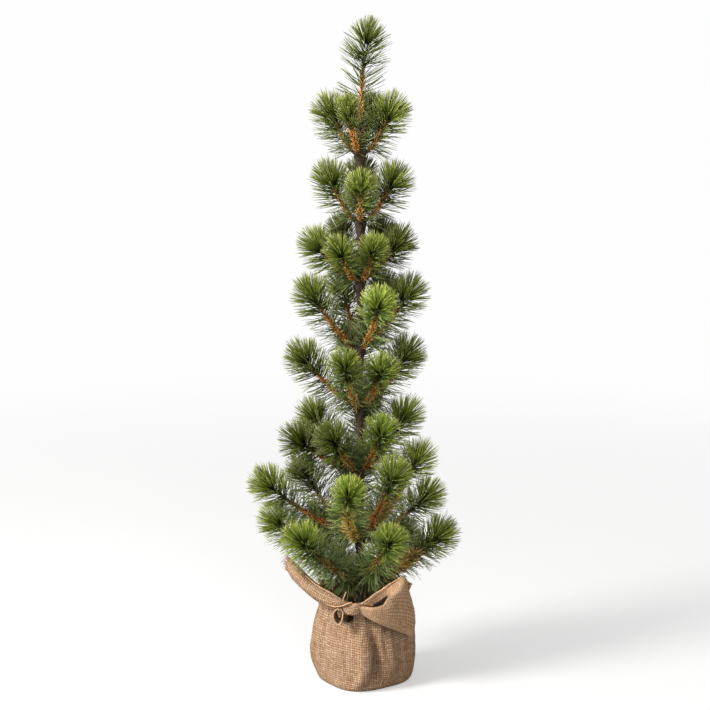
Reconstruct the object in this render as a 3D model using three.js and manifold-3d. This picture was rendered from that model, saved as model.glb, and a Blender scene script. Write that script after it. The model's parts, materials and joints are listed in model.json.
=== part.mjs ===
// Artificial tabletop pine tree standing in a knotted burlap sack. Millimetres, +Z up, front is -Y.
// Origin: the trunk's axis at the underside of the base.
// The trunk is a steel rod set in a cement weight and covered by a bark-brown wrap. Eight whorls of
// moulded sprigs leave it, each under its own tape binding, and a leader tops it. Each sprig is one
// solid: a bare wire twig, then a brush whose spikes stand for bundles of needles.
import * as THREE from "three";
import { mergeVertices } from "three/addons/utils/BufferGeometryUtils.js";
import Module from "manifold-3d";

const wasm = await Module();
wasm.setup();

const { degToRad, mapLinear, smoothstep } = THREE.MathUtils;

// ---------- driving dimensions ----------
const GAP = 0.3; // clearance between touching pieces

const ROD_R = 2.5;
const ROD_FOOT_Z = 14;
const ROD_TOP_Z = 728;
const ROD_SIDES = 12;

const WRAP_BOTTOM_R = 5.4;
const WRAP_TOP_R = 4.4;
const WRAP_FOOT_Z = 71;
const WRAP_TOP_Z = 727;
const WRAP_SIDES = 14; // shared by the wrap and its bindings

const TAPE_R = 6.4; // widest radius of a binding
const TAPE_EDGE = 0.8; // thickness at a binding's lower edge
const TAPE_BELOW = 24; // how far a binding runs below its whorl's height
const TAPE_ABOVE = 9;
const TAPE_TOP_MARGIN = 0.5; // least distance from a binding's top to the wrap's top

const CUP_R = 46; // thin plastic cup around the cement
const CUP_WALL = 1.4;
const CUP_FOOT_Z = 2.1;
const CUP_RIM_Z = 96;
const CUP_LIP = 1.2; // how far the rim stands out
const CEMENT_TOP_Z = 70;
const POT_SIDES = 32;

const SACK_SQUARE = 0.04; // departure of the sack's plan from a circle to a rounded square
const SACK_TURN = 0.12; // the square's turn about Z, clockwise from above, in radians
const SACK_SHIFT_X = 2.5; // sideways shift of the sack above its foot
const SACK_SLANT = 0.03; // the neck sits lower at the front than at the back
const SACK_CLOTH = 2.4; // wall, one or two layers of burlap
const SACK_SIDES = 36;
// Outer profile of the sack, [radius, height].
const SACK_PROFILE = [
  [54, 0], [60, 3], [64, 10], [66.5, 24], [68, 42], [67.5, 60],
  [65, 76], [60.5, 92], [56, 104], [54, 112], [56, 121], [59.5, 131],
];
// Inside of the sack's floor, [radius, height].
const SACK_FLOOR = [[0, 1.7], [48.5, 1.7], [52.5, 4.2]];

// ---------- whorls and sprigs ----------
const TWIG_R = 1.5;
const TWIG_ROOT_R = 7.9; // a twig leaves its binding this far from the trunk's axis
const SPRIG_SIDES = 8;

// Height of each whorl on the trunk, top to bottom.
const WHORL_Z = [720.8, 630.5, 551.4, 460.7, 378.8, 291.8, 197.1, 140.9];

// Name, whorl, azimuth in degrees from +X, distance of the twig's end from the trunk's axis, its
// height above the whorl's, the root's height above the whorl's, brush radius.
const SPRIGS = [
  ["sprig_w1_left", 1, 172, 43, 62, 0, 16],
  ["sprig_w1_front", 1, -112, 43, 66, -2, 16],
  ["sprig_w1_back", 1, 68, 43, 66, 0, 16],
  ["sprig_w1_right", 1, -10, 45, 62, 0, 16],
  ["sprig_w2_left", 2, -175, 43, 64, 0, 17.5],
  ["sprig_w2_front", 2, -89, 46, 57, -2, 17.5],
  ["sprig_w2_right", 2, -5, 49, 61, 0, 17.5],
  ["sprig_w2_back", 2, 87, 46, 71, 0, 17.5],
  ["sprig_w3_left", 3, 173, 64, 52, 2, 17.5],
  ["sprig_w3_front_left", 3, -123, 55, 49, -2, 17.5],
  ["sprig_w3_back_left", 3, 120, 55, 72, 0, 17.5],
  ["sprig_w3_front_right", 3, -69, 54, 54, -2, 17.5],
  ["sprig_w3_back_right", 3, 57, 55, 69, 0, 17.5],
  ["sprig_w3_right", 3, -2, 56, 57, 2, 17.5],
  ["sprig_w4_left", 4, -169, 71, 81, 0, 20],
  ["sprig_w4_front", 4, -66, 68, 75, -3, 20],
  ["sprig_w4_right", 4, 3, 70, 81, 2, 20],
  ["sprig_w4_back_left", 4, 112, 67, 82, 0, 20],
  ["sprig_w4_back_right", 4, 59, 70, 81, 0, 20],
  ["sprig_w5_left", 5, 180, 82, 74, 3, 21],
  ["sprig_w5_front_left", 5, -108, 74, 74, -3, 21],
  ["sprig_w5_front_right", 5, -63, 70, 67, 2, 21],
  ["sprig_w5_right", 5, 15, 70, 78, 0, 21],
  ["sprig_w5_back", 5, 98, 77, 90, 0, 21],
  ["sprig_w6_back_left", 6, 146, 82, 74, 4, 21],
  ["sprig_w6_left", 6, -166, 91, 51, -4, 21],
  ["sprig_w6_front_left", 6, -120, 79, 61, 0, 21],
  ["sprig_w6_front_right", 6, -60, 64, 70, 0, 21],
  ["sprig_w6_right", 6, 24, 72, 79, 0, 21],
  ["sprig_w6_back", 6, 84, 78, 86, 0, 21],
  ["sprig_w7_left", 7, -171, 133, 85, 2, 23],
  ["sprig_w7_back_left", 7, 143, 105, 87, 0, 23],
  ["sprig_w7_front", 7, -99, 89, 89, -3, 23],
  ["sprig_w7_front_right", 7, -60, 92, 110, 3, 23],
  ["sprig_w7_right", 7, -8, 83, 121, 6, 23],
  ["sprig_w7_back_right", 7, 29, 114, 53, -8, 23],
  ["sprig_w7_back", 7, 92, 92, 97, 0, 23],
  ["sprig_w8_left", 8, 166, 126, 79, 3, 23],
  ["sprig_w8_front_left", 8, -138, 111, 76, -4, 23],
  ["sprig_w8_front_right", 8, -64, 98, 79, 2, 23],
  ["sprig_w8_right", 8, -6, 116, 69, -5, 23],
  ["sprig_w8_back_left", 8, 123, 109, 60, 0, 23],
  ["sprig_w8_back_right", 8, 52, 106, 46, 0, 23],
];

// ---------- helpers ----------
const LOOKS = {
  steel: { color: 0x8d8f92, roughness: 0.4, metalness: 1.0 },
  bark: { color: 0x4a3a2e, roughness: 0.85, metalness: 0.0 },
  tape: { color: 0x553f2e, roughness: 0.8, metalness: 0.0 },
  needles: { color: 0x4e6b2f, roughness: 0.6, metalness: 0.0 },
  cement: { color: 0xa9a59c, roughness: 0.95, metalness: 0.0 },
  cup: { color: 0x2a2a2a, roughness: 0.5, metalness: 0.0 },
  burlap: { color: 0xa98a61, roughness: 0.95, metalness: 0.0 },
};

const tree = new THREE.Group();
tree.name = "tabletop_tree";

function addPiece(name, geometry, look) {
  const mesh = new THREE.Mesh(geometry, new THREE.MeshStandardMaterial(LOOKS[look]));
  mesh.name = name;
  tree.add(mesh);
}

// Spins a [radius, height] profile about Z.
function lathe(points, segments) {
  const profile = points.map(([radius, z]) => new THREE.Vector2(radius, z));
  const geometry = new THREE.LatheGeometry(profile, segments);
  geometry.rotateX(Math.PI / 2);
  return geometry;
}

// Moves every vertex of a geometry.
function bend(geometry, move) {
  const positions = geometry.attributes.position;
  const point = new THREE.Vector3();
  for (let i = 0; i < positions.count; i++) {
    point.fromBufferAttribute(positions, i);
    move(point);
    positions.setXYZ(i, point.x, point.y, point.z);
  }
  geometry.computeVertexNormals();
  return geometry;
}

function toSolid(geometry) {
  // Normals and UVs would keep coincident vertices apart.
  geometry.deleteAttribute("normal");
  geometry.deleteAttribute("uv");
  const welded = mergeVertices(geometry, 1e-3);
  return new wasm.Manifold(
    new wasm.Mesh({
      numProp: 3,
      vertProperties: new Float32Array(welded.attributes.position.array),
      triVerts: new Uint32Array(welded.index.array),
    }),
  );
}

function toGeometry(solid) {
  const mesh = solid.getMesh();
  const geometry = new THREE.BufferGeometry();
  const positions = new Float32Array(mesh.vertProperties);
  geometry.setAttribute("position", new THREE.BufferAttribute(positions, 3));
  geometry.setIndex(new THREE.BufferAttribute(new Uint32Array(mesh.triVerts), 1));
  geometry.computeVertexNormals();
  return geometry;
}

// ---------- trunk ----------
function trunkRod() {
  return lathe(
    [[0, ROD_FOOT_Z], [ROD_R, ROD_FOOT_Z], [ROD_R, ROD_TOP_Z], [0, ROD_TOP_Z]],
    ROD_SIDES,
  );
}

function trunkWrap() {
  const innerR = ROD_R + GAP;
  return lathe(
    [
      [innerR, WRAP_FOOT_Z],
      [WRAP_BOTTOM_R, WRAP_FOOT_Z],
      [WRAP_TOP_R, WRAP_TOP_Z],
      [innerR, WRAP_TOP_Z],
      [innerR, WRAP_FOOT_Z],
    ],
    WRAP_SIDES,
  );
}

// A binding swells upwards, because the wires of its sprigs run down inside it.
function whorlTape(whorlZ) {
  const low = whorlZ - TAPE_BELOW;
  const high = Math.min(whorlZ + TAPE_ABOVE, WRAP_TOP_Z - TAPE_TOP_MARGIN);
  const innerR = (z) => mapLinear(z, WRAP_FOOT_Z, WRAP_TOP_Z, WRAP_BOTTOM_R, WRAP_TOP_R) + GAP;
  return lathe(
    [
      [innerR(low), low],
      [innerR(low) + TAPE_EDGE, low],
      [TAPE_R - 0.5, whorlZ - 10],
      [TAPE_R, whorlZ - 2],
      [TAPE_R - 0.2, high - 1.5],
      [TAPE_R - 1.0, high],
      [innerR(high), high],
      [innerR(low), low],
    ],
    WRAP_SIDES,
  );
}

addPiece("trunk_rod", trunkRod(), "steel");
addPiece("trunk_wrap", trunkWrap(), "bark");
WHORL_Z.forEach((z, i) => addPiece(`whorl_tape_${i + 1}`, whorlTape(z), "tape"));

// ---------- sprigs ----------
// Rows of a sprig from root to tip. Each holds [radius, station along the twig] for its plain
// corners, and on the brush's rings a second pair for the corners pushed out as spikes.
function sprigRows({ length, brushStart, brushR, overrun, rings }) {
  const tip = length + overrun;
  const rows = [
    { core: [0, 0] },
    { core: [TWIG_R, 0] },
    { core: [TWIG_R, length * 0.22] },
    { core: [TWIG_R, brushStart - 3] },
  ];
  for (let k = 0; k < rings; k++) {
    const t = k / (rings - 1);
    const station = brushStart + (length + overrun * 0.36 - brushStart) * t;
    const swell = Math.sin(Math.PI * (0.16 + 0.66 * Math.pow(t, 0.9)));
    const coreR = 2.6 + 1.6 * swell;
    const spikeR = Math.max(brushR * swell, 5);
    // Spikes lean further forward towards the tip, but never past it.
    const lean = 0.55 + (0.85 * (station - brushStart)) / (tip - brushStart);
    const spikeStation = Math.min(station + lean * (spikeR - coreR), tip);
    rows.push({ core: [coreR, station], spike: [spikeR, spikeStation] });
  }
  rows.push({ core: [0, length + overrun * 0.5] });
  return rows;
}

// One sprig along a curve. `sideways` is square to the curve's plane. The brush starts at
// `brushStart` and reaches `overrun` past the curve's end. Every other corner of it is a spike.
function sprig({ curve, sideways, length, ...brush }) {
  const rows = sprigRows({ length, ...brush });
  const profile = rows.map(({ core }) => new THREE.Vector2(...core));
  const geometry = new THREE.LatheGeometry(profile, SPRIG_SIDES);
  const positions = geometry.attributes.position;
  const point = new THREE.Vector3();
  const tangent = new THREE.Vector3();
  const across = new THREE.Vector3();
  for (let i = 0; i < positions.count; i++) {
    const column = Math.floor(i / rows.length);
    const row = i % rows.length;
    const { core, spike } = rows[row];
    const [radius, station] = spike && (column + row) % 2 === 0 ? spike : core;
    const angle = Math.atan2(positions.getZ(i), positions.getX(i));

    // Past its end the curve runs on straight.
    const fraction = Math.min(station / length, 1);
    curve.getPointAt(fraction, point);
    curve.getTangentAt(fraction, tangent);
    if (station > length) point.addScaledVector(tangent, station - length);
    across.crossVectors(sideways, tangent).normalize();
    point.addScaledVector(sideways, radius * Math.cos(angle));
    point.addScaledVector(across, radius * Math.sin(angle));
    positions.setXYZ(i, point.x, point.y, point.z);
  }
  geometry.computeVertexNormals();
  return geometry;
}

// A twig leaves the trunk low and curves up towards its tip, in one upright plane.
function whorlSprig({ azimuth, reach, rise, rootZ, brushR }) {
  const angle = degToRad(azimuth);
  const at = (radius, z) =>
    new THREE.Vector3(radius * Math.cos(angle), radius * Math.sin(angle), z);
  const curve = new THREE.QuadraticBezierCurve3(
    at(TWIG_ROOT_R, rootZ),
    at(TWIG_ROOT_R + 0.42 * (reach - TWIG_ROOT_R), rootZ + 0.24 * rise),
    at(reach, rootZ + rise),
  );
  const length = curve.getLength();
  return sprig({
    curve,
    sideways: new THREE.Vector3(Math.sin(angle), -Math.cos(angle), 0),
    length,
    brushStart: Math.max(length * 0.42, length - 44),
    brushR,
    overrun: 27,
    rings: 8,
  });
}

// The leader stands on top of the trunk and leans slightly to the right.
const LEADER_ROOT_Z = 733;
const LEADER_BEND_Z = LEADER_ROOT_Z + 80; // upright up to about here
const LEADER_END_Z = 877.5; // end of the twig, inside the brush
const LEADER_END_X = 9;

function leaderSprig() {
  const curve = new THREE.QuadraticBezierCurve3(
    new THREE.Vector3(0, 0, LEADER_ROOT_Z),
    new THREE.Vector3(0, 0, LEADER_BEND_Z),
    new THREE.Vector3(LEADER_END_X, 0, LEADER_END_Z),
  );
  return sprig({
    curve,
    sideways: new THREE.Vector3(0, -1, 0),
    length: curve.getLength(),
    brushStart: 74,
    brushR: 24,
    overrun: 27.6,
    rings: 12,
  });
}

for (const [name, whorl, azimuth, reach, endRise, rootRise, brushR] of SPRIGS) {
  const rootZ = WHORL_Z[whorl - 1] + rootRise;
  const rise = endRise - rootRise;
  addPiece(name, whorlSprig({ azimuth, reach, rise, rootZ, brushR }), "needles");
}
addPiece("leader_sprig", leaderSprig(), "needles");

// ---------- cement and cup ----------
const CUP_INNER_R = CUP_R - CUP_WALL;
const CUP_FLOOR_Z = CUP_FOOT_Z + CUP_WALL;

function cementWeight() {
  const outerR = CUP_INNER_R - GAP;
  const footZ = CUP_FLOOR_Z + GAP;
  return lathe(
    [
      [0, footZ],
      [outerR - 1.5, footZ],
      [outerR, footZ + 2],
      [outerR, CEMENT_TOP_Z],
      [ROD_R + GAP, CEMENT_TOP_Z],
      [ROD_R + GAP, ROD_FOOT_Z - GAP],
      [0, ROD_FOOT_Z - GAP],
    ],
    POT_SIDES,
  );
}

function potCup() {
  return lathe(
    [
      [0, CUP_FOOT_Z],
      [CUP_R - 2, CUP_FOOT_Z],
      [CUP_R, CUP_FOOT_Z + 2],
      [CUP_R, CUP_RIM_Z - 4],
      [CUP_R + CUP_LIP, CUP_RIM_Z - 3.5],
      [CUP_R + CUP_LIP, CUP_RIM_Z],
      [CUP_INNER_R, CUP_RIM_Z],
      [CUP_INNER_R, CUP_FLOOR_Z + 2],
      [CUP_INNER_R - 1.6, CUP_FLOOR_Z],
      [0, CUP_FLOOR_Z],
    ],
    POT_SIDES,
  );
}

addPiece("cement_weight", cementWeight(), "cement");
addPiece("pot_cup", potCup(), "cup");

// ---------- sack ----------
// Spins a profile, then gives it the sack's rounded square plan, with corners to the front, sides
// and back, and lowers its neck at the front. The floor stays flat.
function sackLathe(points) {
  return bend(lathe(points, SACK_SIDES), (point) => {
    const angle = Math.atan2(point.y, point.x);
    const grow = 1 + SACK_SQUARE * Math.cos(4 * (angle + SACK_TURN));
    const radius = Math.hypot(point.x, point.y) * grow;
    point.x = radius * Math.cos(angle) + SACK_SHIFT_X * smoothstep(point.z, 0, 40);
    point.y = radius * Math.sin(angle);
    point.z += SACK_SLANT * point.y * smoothstep(point.z, 25, 100);
  });
}

function burlapSack() {
  const wall = SACK_PROFILE.slice(2).map(([radius, z]) => [radius - SACK_CLOTH, z]);
  const inside = [...SACK_FLOOR, ...wall].reverse();
  return sackLathe([[0, 0], ...SACK_PROFILE, ...inside]);
}

addPiece("burlap_sack", burlapSack(), "burlap");

// ---------- tie ----------
const TIE_GAP = 0.5; // clearance between the tie and the sack
const TAIL_CLOTH = 4.5;
const KNOT_RADII = [13, 10, 9.5];
const KNOT_CENTRE = [-12, -66, 118];

// Section of the band round the neck, [radius, height].
const BAND_PROFILE = [
  [52.5, 107], [59, 105.5], [60.5, 109], [60, 114], [59, 118], [52.5, 118], [52.5, 107],
];
// Outlines of the tails seen from the front, [x, z].
const LEFT_TAIL = [
  [-6, 112], [-15, 113], [-27, 114], [-39, 116], [-51, 122], [-65, 130], [-77, 138],
  [-88, 148], [-95, 158], [-99, 168], [-97, 178], [-89, 176], [-79, 170], [-70, 163],
  [-59, 155], [-48, 148], [-36, 141], [-25, 136], [-15, 130], [-6, 127],
];
const RIGHT_TAIL = [
  [-12, 116], [-3, 115], [7, 109], [20, 101], [33, 94], [46, 88], [57, 81],
  [65, 74], [68, 80], [70, 92], [69, 104], [66, 122], [62, 138], [57, 150],
  [52, 155], [44, 152], [36, 148], [27, 142], [13, 134], [0, 129], [-12, 128],
];
// Back face of each tail, y at x: the left one sweeps back, the right one follows an arc.
const leftTailY = (x) => -66 + 0.0046 * Math.min(x + 8, 0) ** 2;
const rightTailY = (x) => 3 - Math.sqrt(76 ** 2 - (x - 2) ** 2);

function tail(outline, backY) {
  const shape = new THREE.Shape(outline.map(([x, z]) => new THREE.Vector2(x, z)));
  const geometry = new THREE.ExtrudeGeometry(shape, {
    depth: TAIL_CLOTH,
    bevelEnabled: false,
    steps: 1,
  });
  geometry.rotateX(Math.PI / 2); // the outline stands up and the depth runs along -Y
  bend(geometry, (point) => {
    point.y += backY(point.x);
  });
  return toSolid(geometry);
}

// A burlap strip round the neck, knotted in front, with one tail swept up to the left and the
// other fanned out to the right.
function burlapTie() {
  const clearOfSack = SACK_PROFILE.map(([radius, z]) => [radius + TIE_GAP, z]);
  const keepOut = toSolid(sackLathe([[0, -2], [52, -2], ...clearOfSack, [0, 145]]));
  const knot = new THREE.SphereGeometry(1, 14, 10);
  knot.scale(...KNOT_RADII);
  knot.translate(...KNOT_CENTRE);
  const tie = toSolid(sackLathe(BAND_PROFILE))
    .add(toSolid(knot))
    .add(tail(LEFT_TAIL, leftTailY))
    .add(tail(RIGHT_TAIL, rightTailY))
    .subtract(keepOut);
  return toGeometry(tie);
}

addPiece("burlap_tie", burlapTie(), "burlap");

export default tree;
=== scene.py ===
# A tabletop pine: eight whorls of wire sprigs and a leader on a taped trunk, standing in a cup
# that is wrapped in a knotted burlap sack.
# The frame is the CAD's: metres, +Z up, the trunk along Z, front towards -Y, right towards +X.
# Shapes are worked out in millimetres and scaled as each mesh is made.
import bpy
import json
import math
import numpy as np
from mathutils import Vector
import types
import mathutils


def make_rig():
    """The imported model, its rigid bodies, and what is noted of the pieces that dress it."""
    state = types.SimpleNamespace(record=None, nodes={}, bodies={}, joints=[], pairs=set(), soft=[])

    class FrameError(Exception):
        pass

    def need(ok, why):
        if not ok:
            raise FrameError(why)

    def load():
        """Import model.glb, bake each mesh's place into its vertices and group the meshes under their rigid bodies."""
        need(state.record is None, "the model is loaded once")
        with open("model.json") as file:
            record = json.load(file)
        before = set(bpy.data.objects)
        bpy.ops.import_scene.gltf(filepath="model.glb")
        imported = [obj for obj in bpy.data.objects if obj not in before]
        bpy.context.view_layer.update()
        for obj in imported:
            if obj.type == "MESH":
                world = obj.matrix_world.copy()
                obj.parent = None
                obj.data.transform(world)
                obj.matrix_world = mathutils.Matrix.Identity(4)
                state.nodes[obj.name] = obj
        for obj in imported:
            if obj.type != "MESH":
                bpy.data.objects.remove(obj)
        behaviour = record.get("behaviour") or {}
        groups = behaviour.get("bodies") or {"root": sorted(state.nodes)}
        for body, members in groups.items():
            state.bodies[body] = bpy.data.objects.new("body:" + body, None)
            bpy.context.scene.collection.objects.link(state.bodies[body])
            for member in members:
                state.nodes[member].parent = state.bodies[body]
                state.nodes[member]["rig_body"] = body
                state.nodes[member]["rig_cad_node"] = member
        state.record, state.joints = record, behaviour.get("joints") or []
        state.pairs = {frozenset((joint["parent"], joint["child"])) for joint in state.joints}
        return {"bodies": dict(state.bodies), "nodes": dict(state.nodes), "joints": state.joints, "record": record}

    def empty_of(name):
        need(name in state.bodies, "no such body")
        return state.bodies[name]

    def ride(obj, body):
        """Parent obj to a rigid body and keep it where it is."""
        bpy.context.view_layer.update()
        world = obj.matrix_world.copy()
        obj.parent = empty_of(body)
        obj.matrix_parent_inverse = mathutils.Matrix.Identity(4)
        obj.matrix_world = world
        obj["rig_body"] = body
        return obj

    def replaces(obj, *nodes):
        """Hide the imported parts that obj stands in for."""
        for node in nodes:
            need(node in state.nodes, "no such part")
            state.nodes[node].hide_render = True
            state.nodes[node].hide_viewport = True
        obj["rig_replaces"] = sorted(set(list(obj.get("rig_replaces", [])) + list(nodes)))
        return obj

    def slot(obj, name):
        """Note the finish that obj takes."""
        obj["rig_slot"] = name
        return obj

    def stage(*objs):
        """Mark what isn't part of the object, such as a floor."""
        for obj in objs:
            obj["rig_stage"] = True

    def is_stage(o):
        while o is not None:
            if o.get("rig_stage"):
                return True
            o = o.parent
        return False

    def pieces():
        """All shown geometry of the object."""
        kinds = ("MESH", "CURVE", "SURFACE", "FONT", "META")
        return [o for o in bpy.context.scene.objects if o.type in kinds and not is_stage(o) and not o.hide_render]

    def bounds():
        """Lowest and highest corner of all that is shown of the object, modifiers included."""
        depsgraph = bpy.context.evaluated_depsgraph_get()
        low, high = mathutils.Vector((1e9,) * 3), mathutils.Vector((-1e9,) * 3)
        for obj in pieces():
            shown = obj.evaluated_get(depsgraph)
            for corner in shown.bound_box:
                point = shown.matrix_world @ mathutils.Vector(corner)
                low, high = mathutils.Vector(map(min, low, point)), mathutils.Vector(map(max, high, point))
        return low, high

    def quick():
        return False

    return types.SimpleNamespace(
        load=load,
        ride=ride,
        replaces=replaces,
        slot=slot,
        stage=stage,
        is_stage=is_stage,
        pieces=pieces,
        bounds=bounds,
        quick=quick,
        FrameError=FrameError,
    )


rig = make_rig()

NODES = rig.load()["nodes"]
CAD_BOX = [list(map(float, corner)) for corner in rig.bounds()]
MM = 0.001
GOLDEN_ANGLE = 2.39996  # turn between neighbours round a stem, radians
UP = np.array([0.0, 0.0, 1.0])
scene = bpy.context.scene

# ------------------------------------------------------------------ tree dimensions, mm and degrees
PIVOT_RADIUS = 7.9  # where a sprig leaves the trunk
TRUNK_BOTTOM, TRUNK_TOP = 70.6, 727.0
LEADER_BOTTOM, LEADER_TOP = 733.0, 871.0
# Whorls from the top down: height, then its sprigs. The columns of a sprig are
#   side, azimuth from +X, reach, rise, lift of the root,
#   brightness (partly the sprig's own tone, partly painted light and shade), fresh green,
#   golden pegs, brown pegs, peg size, tuft half angle, needle length
WHORLS = [
    (720.8, [
        ("left", 172, 43, 62, 0, 1.05, 0.1, 0.3, 0.0, 1.0, 64, 1.0),
        ("front", -112, 43, 66, -2, 1.05, 0.15, 0.2, 0.0, 1.05, 44, 0.78),
        ("back", 68, 43, 66, 0, 0.72, 0.1, 0.2, 0.2, 1.0, 44, 0.85),
        ("right", -10, 45, 62, 0, 1.35, 0.2, 0.3, 0.0, 1.2, 66, 1.0),
    ]),
    (630.5, [
        ("left", -175, 43, 64, 0, 0.98, 0.25, 0.1, 0.0, 1.0, 64, 1.0),
        ("front", -89, 46, 57, -2, 1.35, 0.25, 0.4, 0.0, 1.15, 60, 0.82),
        ("right", -5, 49, 61, 0, 1.1, 0.2, 0.0, 0.1, 1.0, 66, 1.0),
        ("back", 87, 46, 71, 0, 0.68, 0.0, 0.0, 0.3, 1.0, 56, 0.9),
    ]),
    (551.4, [
        ("left", 173, 64, 52, 2, 1.12, 0.3, 0.0, 0.1, 1.05, 68, 1.0),
        ("front_left", -123, 55, 49, -2, 1.1, 0.4, 0.1, 0.05, 1.15, 66, 0.84),
        ("back_left", 120, 55, 72, 0, 0.5, 0.0, 0.0, 0.4, 1.0, 56, 0.86),
        ("front_right", -69, 54, 54, -2, 1.22, 0.4, 0.2, 0.05, 1.15, 64, 0.8),
        ("back_right", 57, 55, 69, 0, 0.5, 0.0, 0.0, 0.4, 1.0, 56, 0.86),
        ("right", -2, 56, 57, 2, 0.72, 0.1, 0.1, 0.2, 1.0, 62, 0.96),
    ]),
    (460.7, [
        ("left", -169, 71, 81, 0, 1.04, 0.3, 0.1, 0.05, 1.1, 68, 1.0),
        ("front", -66, 68, 75, -3, 1.7, 0.5, 0.3, 0.05, 1.1, 66, 0.88),
        ("right", 3, 70, 81, 2, 1.12, 0.15, 0.0, 0.1, 1.0, 68, 1.0),
        ("back_left", 112, 67, 82, 0, 0.86, 0.1, 0.2, 0.3, 1.0, 64, 0.95),
        ("back_right", 59, 70, 81, 0, 0.84, 0.1, 0.2, 0.3, 1.0, 64, 0.95),
    ]),
    (378.8, [
        ("left", 180, 82, 74, 3, 0.86, 0.2, 0.1, 0.1, 1.05, 68, 1.0),
        ("front_left", -108, 74, 74, -3, 1.06, 0.5, 0.5, 0.1, 1.25, 66, 0.86),
        ("front_right", -63, 70, 67, 2, 1.16, 0.6, 0.4, 0.1, 1.25, 66, 0.9),
        ("right", 15, 70, 78, 0, 1.05, 0.2, 0.1, 0.2, 1.0, 66, 1.0),
        ("back", 98, 77, 90, 0, 0.74, 0.1, 0.2, 0.3, 1.0, 64, 1.0),
    ]),
    (291.8, [
        ("back_left", 146, 82, 74, 4, 0.96, 0.1, 0.2, 0.3, 1.0, 66, 1.0),
        ("left", -166, 91, 51, -4, 0.62, 0.05, 0.2, 0.3, 0.95, 70, 1.0),
        ("front_left", -120, 79, 61, 0, 0.68, 0.3, 0.3, 0.05, 1.25, 68, 0.95),
        ("front_right", -60, 64, 70, 0, 1.2, 0.85, 0.6, 0.0, 1.6, 66, 0.92),
        ("right", 24, 72, 79, 0, 1.55, 0.3, 0.2, 0.2, 1.0, 70, 1.0),
        ("back", 84, 78, 86, 0, 0.95, 0.1, 0.2, 0.3, 1.0, 64, 1.0),
    ]),
    (197.1, [
        ("left", -171, 133, 85, 2, 1.16, 0.2, 0.2, 0.15, 1.05, 64, 1.0),
        ("back_left", 143, 105, 87, 0, 0.66, 0.1, 0.1, 0.5, 0.8, 62, 1.0),
        ("front", -99, 89, 89, -3, 1.5, 0.65, 1.0, 0.0, 2.3, 62, 0.86),
        ("front_right", -60, 92, 110, 3, 1.25, 0.4, 0.1, 0.2, 1.6, 62, 1.0),
        ("right", -8, 83, 121, 6, 1.75, 0.05, 0.3, 0.15, 1.9, 64, 1.0),
        ("back_right", 29, 114, 53, -8, 1.7, 0.0, 0.1, 0.6, 0.9, 64, 1.0),
        ("back", 92, 92, 97, 0, 0.74, 0.1, 0.1, 0.5, 1.0, 64, 1.0),
    ]),
    (140.9, [
        ("left", 166, 126, 79, 3, 1.2, 0.5, 0.2, 0.3, 1.1, 70, 1.0),
        ("front_left", -138, 111, 76, -4, 1.2, 0.65, 0.3, 0.4, 1.0, 66, 0.98),
        ("front_right", -64, 98, 79, 2, 1.32, 0.6, 0.5, 0.1, 1.15, 64, 0.9),
        ("right", -6, 116, 69, -5, 1.25, 0.2, 0.7, 0.45, 3.3, 62, 1.0),
        ("back_left", 123, 109, 60, 0, 0.8, 0.1, 0.1, 0.5, 1.0, 64, 1.0),
        ("back_right", 52, 106, 46, 0, 0.8, 0.1, 0.1, 0.6, 1.0, 64, 1.0),
    ]),
]


# ------------------------------------------------------------------ shader node helpers
def srgb(red, green, blue):
    def linear(channel):
        c = channel / 255
        return c / 12.92 if c <= 0.04045 else ((c + 0.055) / 1.055) ** 2.4
    return (linear(red), linear(green), linear(blue), 1.0)


class Nodes:
    """Adds nodes to a tree. An input may be given a value or another node's output."""

    def __init__(self, tree):
        self.tree = tree

    def node(self, kind, **properties):
        node = self.tree.nodes.new(kind)
        for key, value in properties.items():
            setattr(node, key, value)
        return node

    def feed(self, socket, value):
        if isinstance(value, bpy.types.NodeSocket):
            self.tree.links.new(value, socket)
        else:
            socket.default_value = value

    def math(self, operation, a, b=0.0):
        node = self.node("ShaderNodeMath", operation=operation)
        self.feed(node.inputs[0], a)
        self.feed(node.inputs[1], b)
        return node.outputs[0]

    def multiply(self, a, b):
        return self.math("MULTIPLY", a, b)

    def mix(self, factor, a, b):
        node = self.node("ShaderNodeMix", data_type="RGBA", clamp_factor=True)
        self.feed(node.inputs[0], factor)
        self.feed(node.inputs[6], a)
        self.feed(node.inputs[7], b)
        return node.outputs[2]

    def ramp(self, factor, stops):
        """stops: (position, sRGB red, green, blue)."""
        node = self.node("ShaderNodeValToRGB")
        elements = node.color_ramp.elements
        while len(elements) < len(stops):
            elements.new(0.5)
        for element, (position, *colour) in zip(elements, stops):
            element.position = position
            element.color = srgb(*colour)
        self.feed(node.inputs[0], factor)
        return node.outputs[0]

    def remap(self, value, span, to=(0.0, 1.0)):
        node = self.node("ShaderNodeMapRange", clamp=True)
        for socket, item in zip(node.inputs, (value, *span, *to)):
            self.feed(socket, item)
        return node.outputs[0]

    def noise(self, scale, vector, detail=3.0, roughness=0.5, distortion=0.0):
        node = self.node("ShaderNodeTexNoise")
        settings = {"Scale": scale, "Detail": detail, "Roughness": roughness,
                    "Distortion": distortion, "Vector": vector}
        for key, value in settings.items():
            self.feed(node.inputs[key], value)
        return node.outputs[0]

    def coords(self, kind="Object"):
        return self.node("ShaderNodeTexCoord").outputs[kind]

    def channels(self, colour):
        node = self.node("ShaderNodeSeparateColor")
        self.feed(node.inputs[0], colour)
        return node.outputs[0], node.outputs[1], node.outputs[2]

    def attribute(self, name):
        node = self.node("ShaderNodeAttribute", attribute_name=name)
        return self.channels(node.outputs["Color"])

    def bump(self, height, strength, distance):
        node = self.node("ShaderNodeBump")
        node.inputs["Strength"].default_value = strength
        node.inputs["Distance"].default_value = distance
        self.feed(node.inputs["Height"], height)
        return node.outputs[0]


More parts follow.
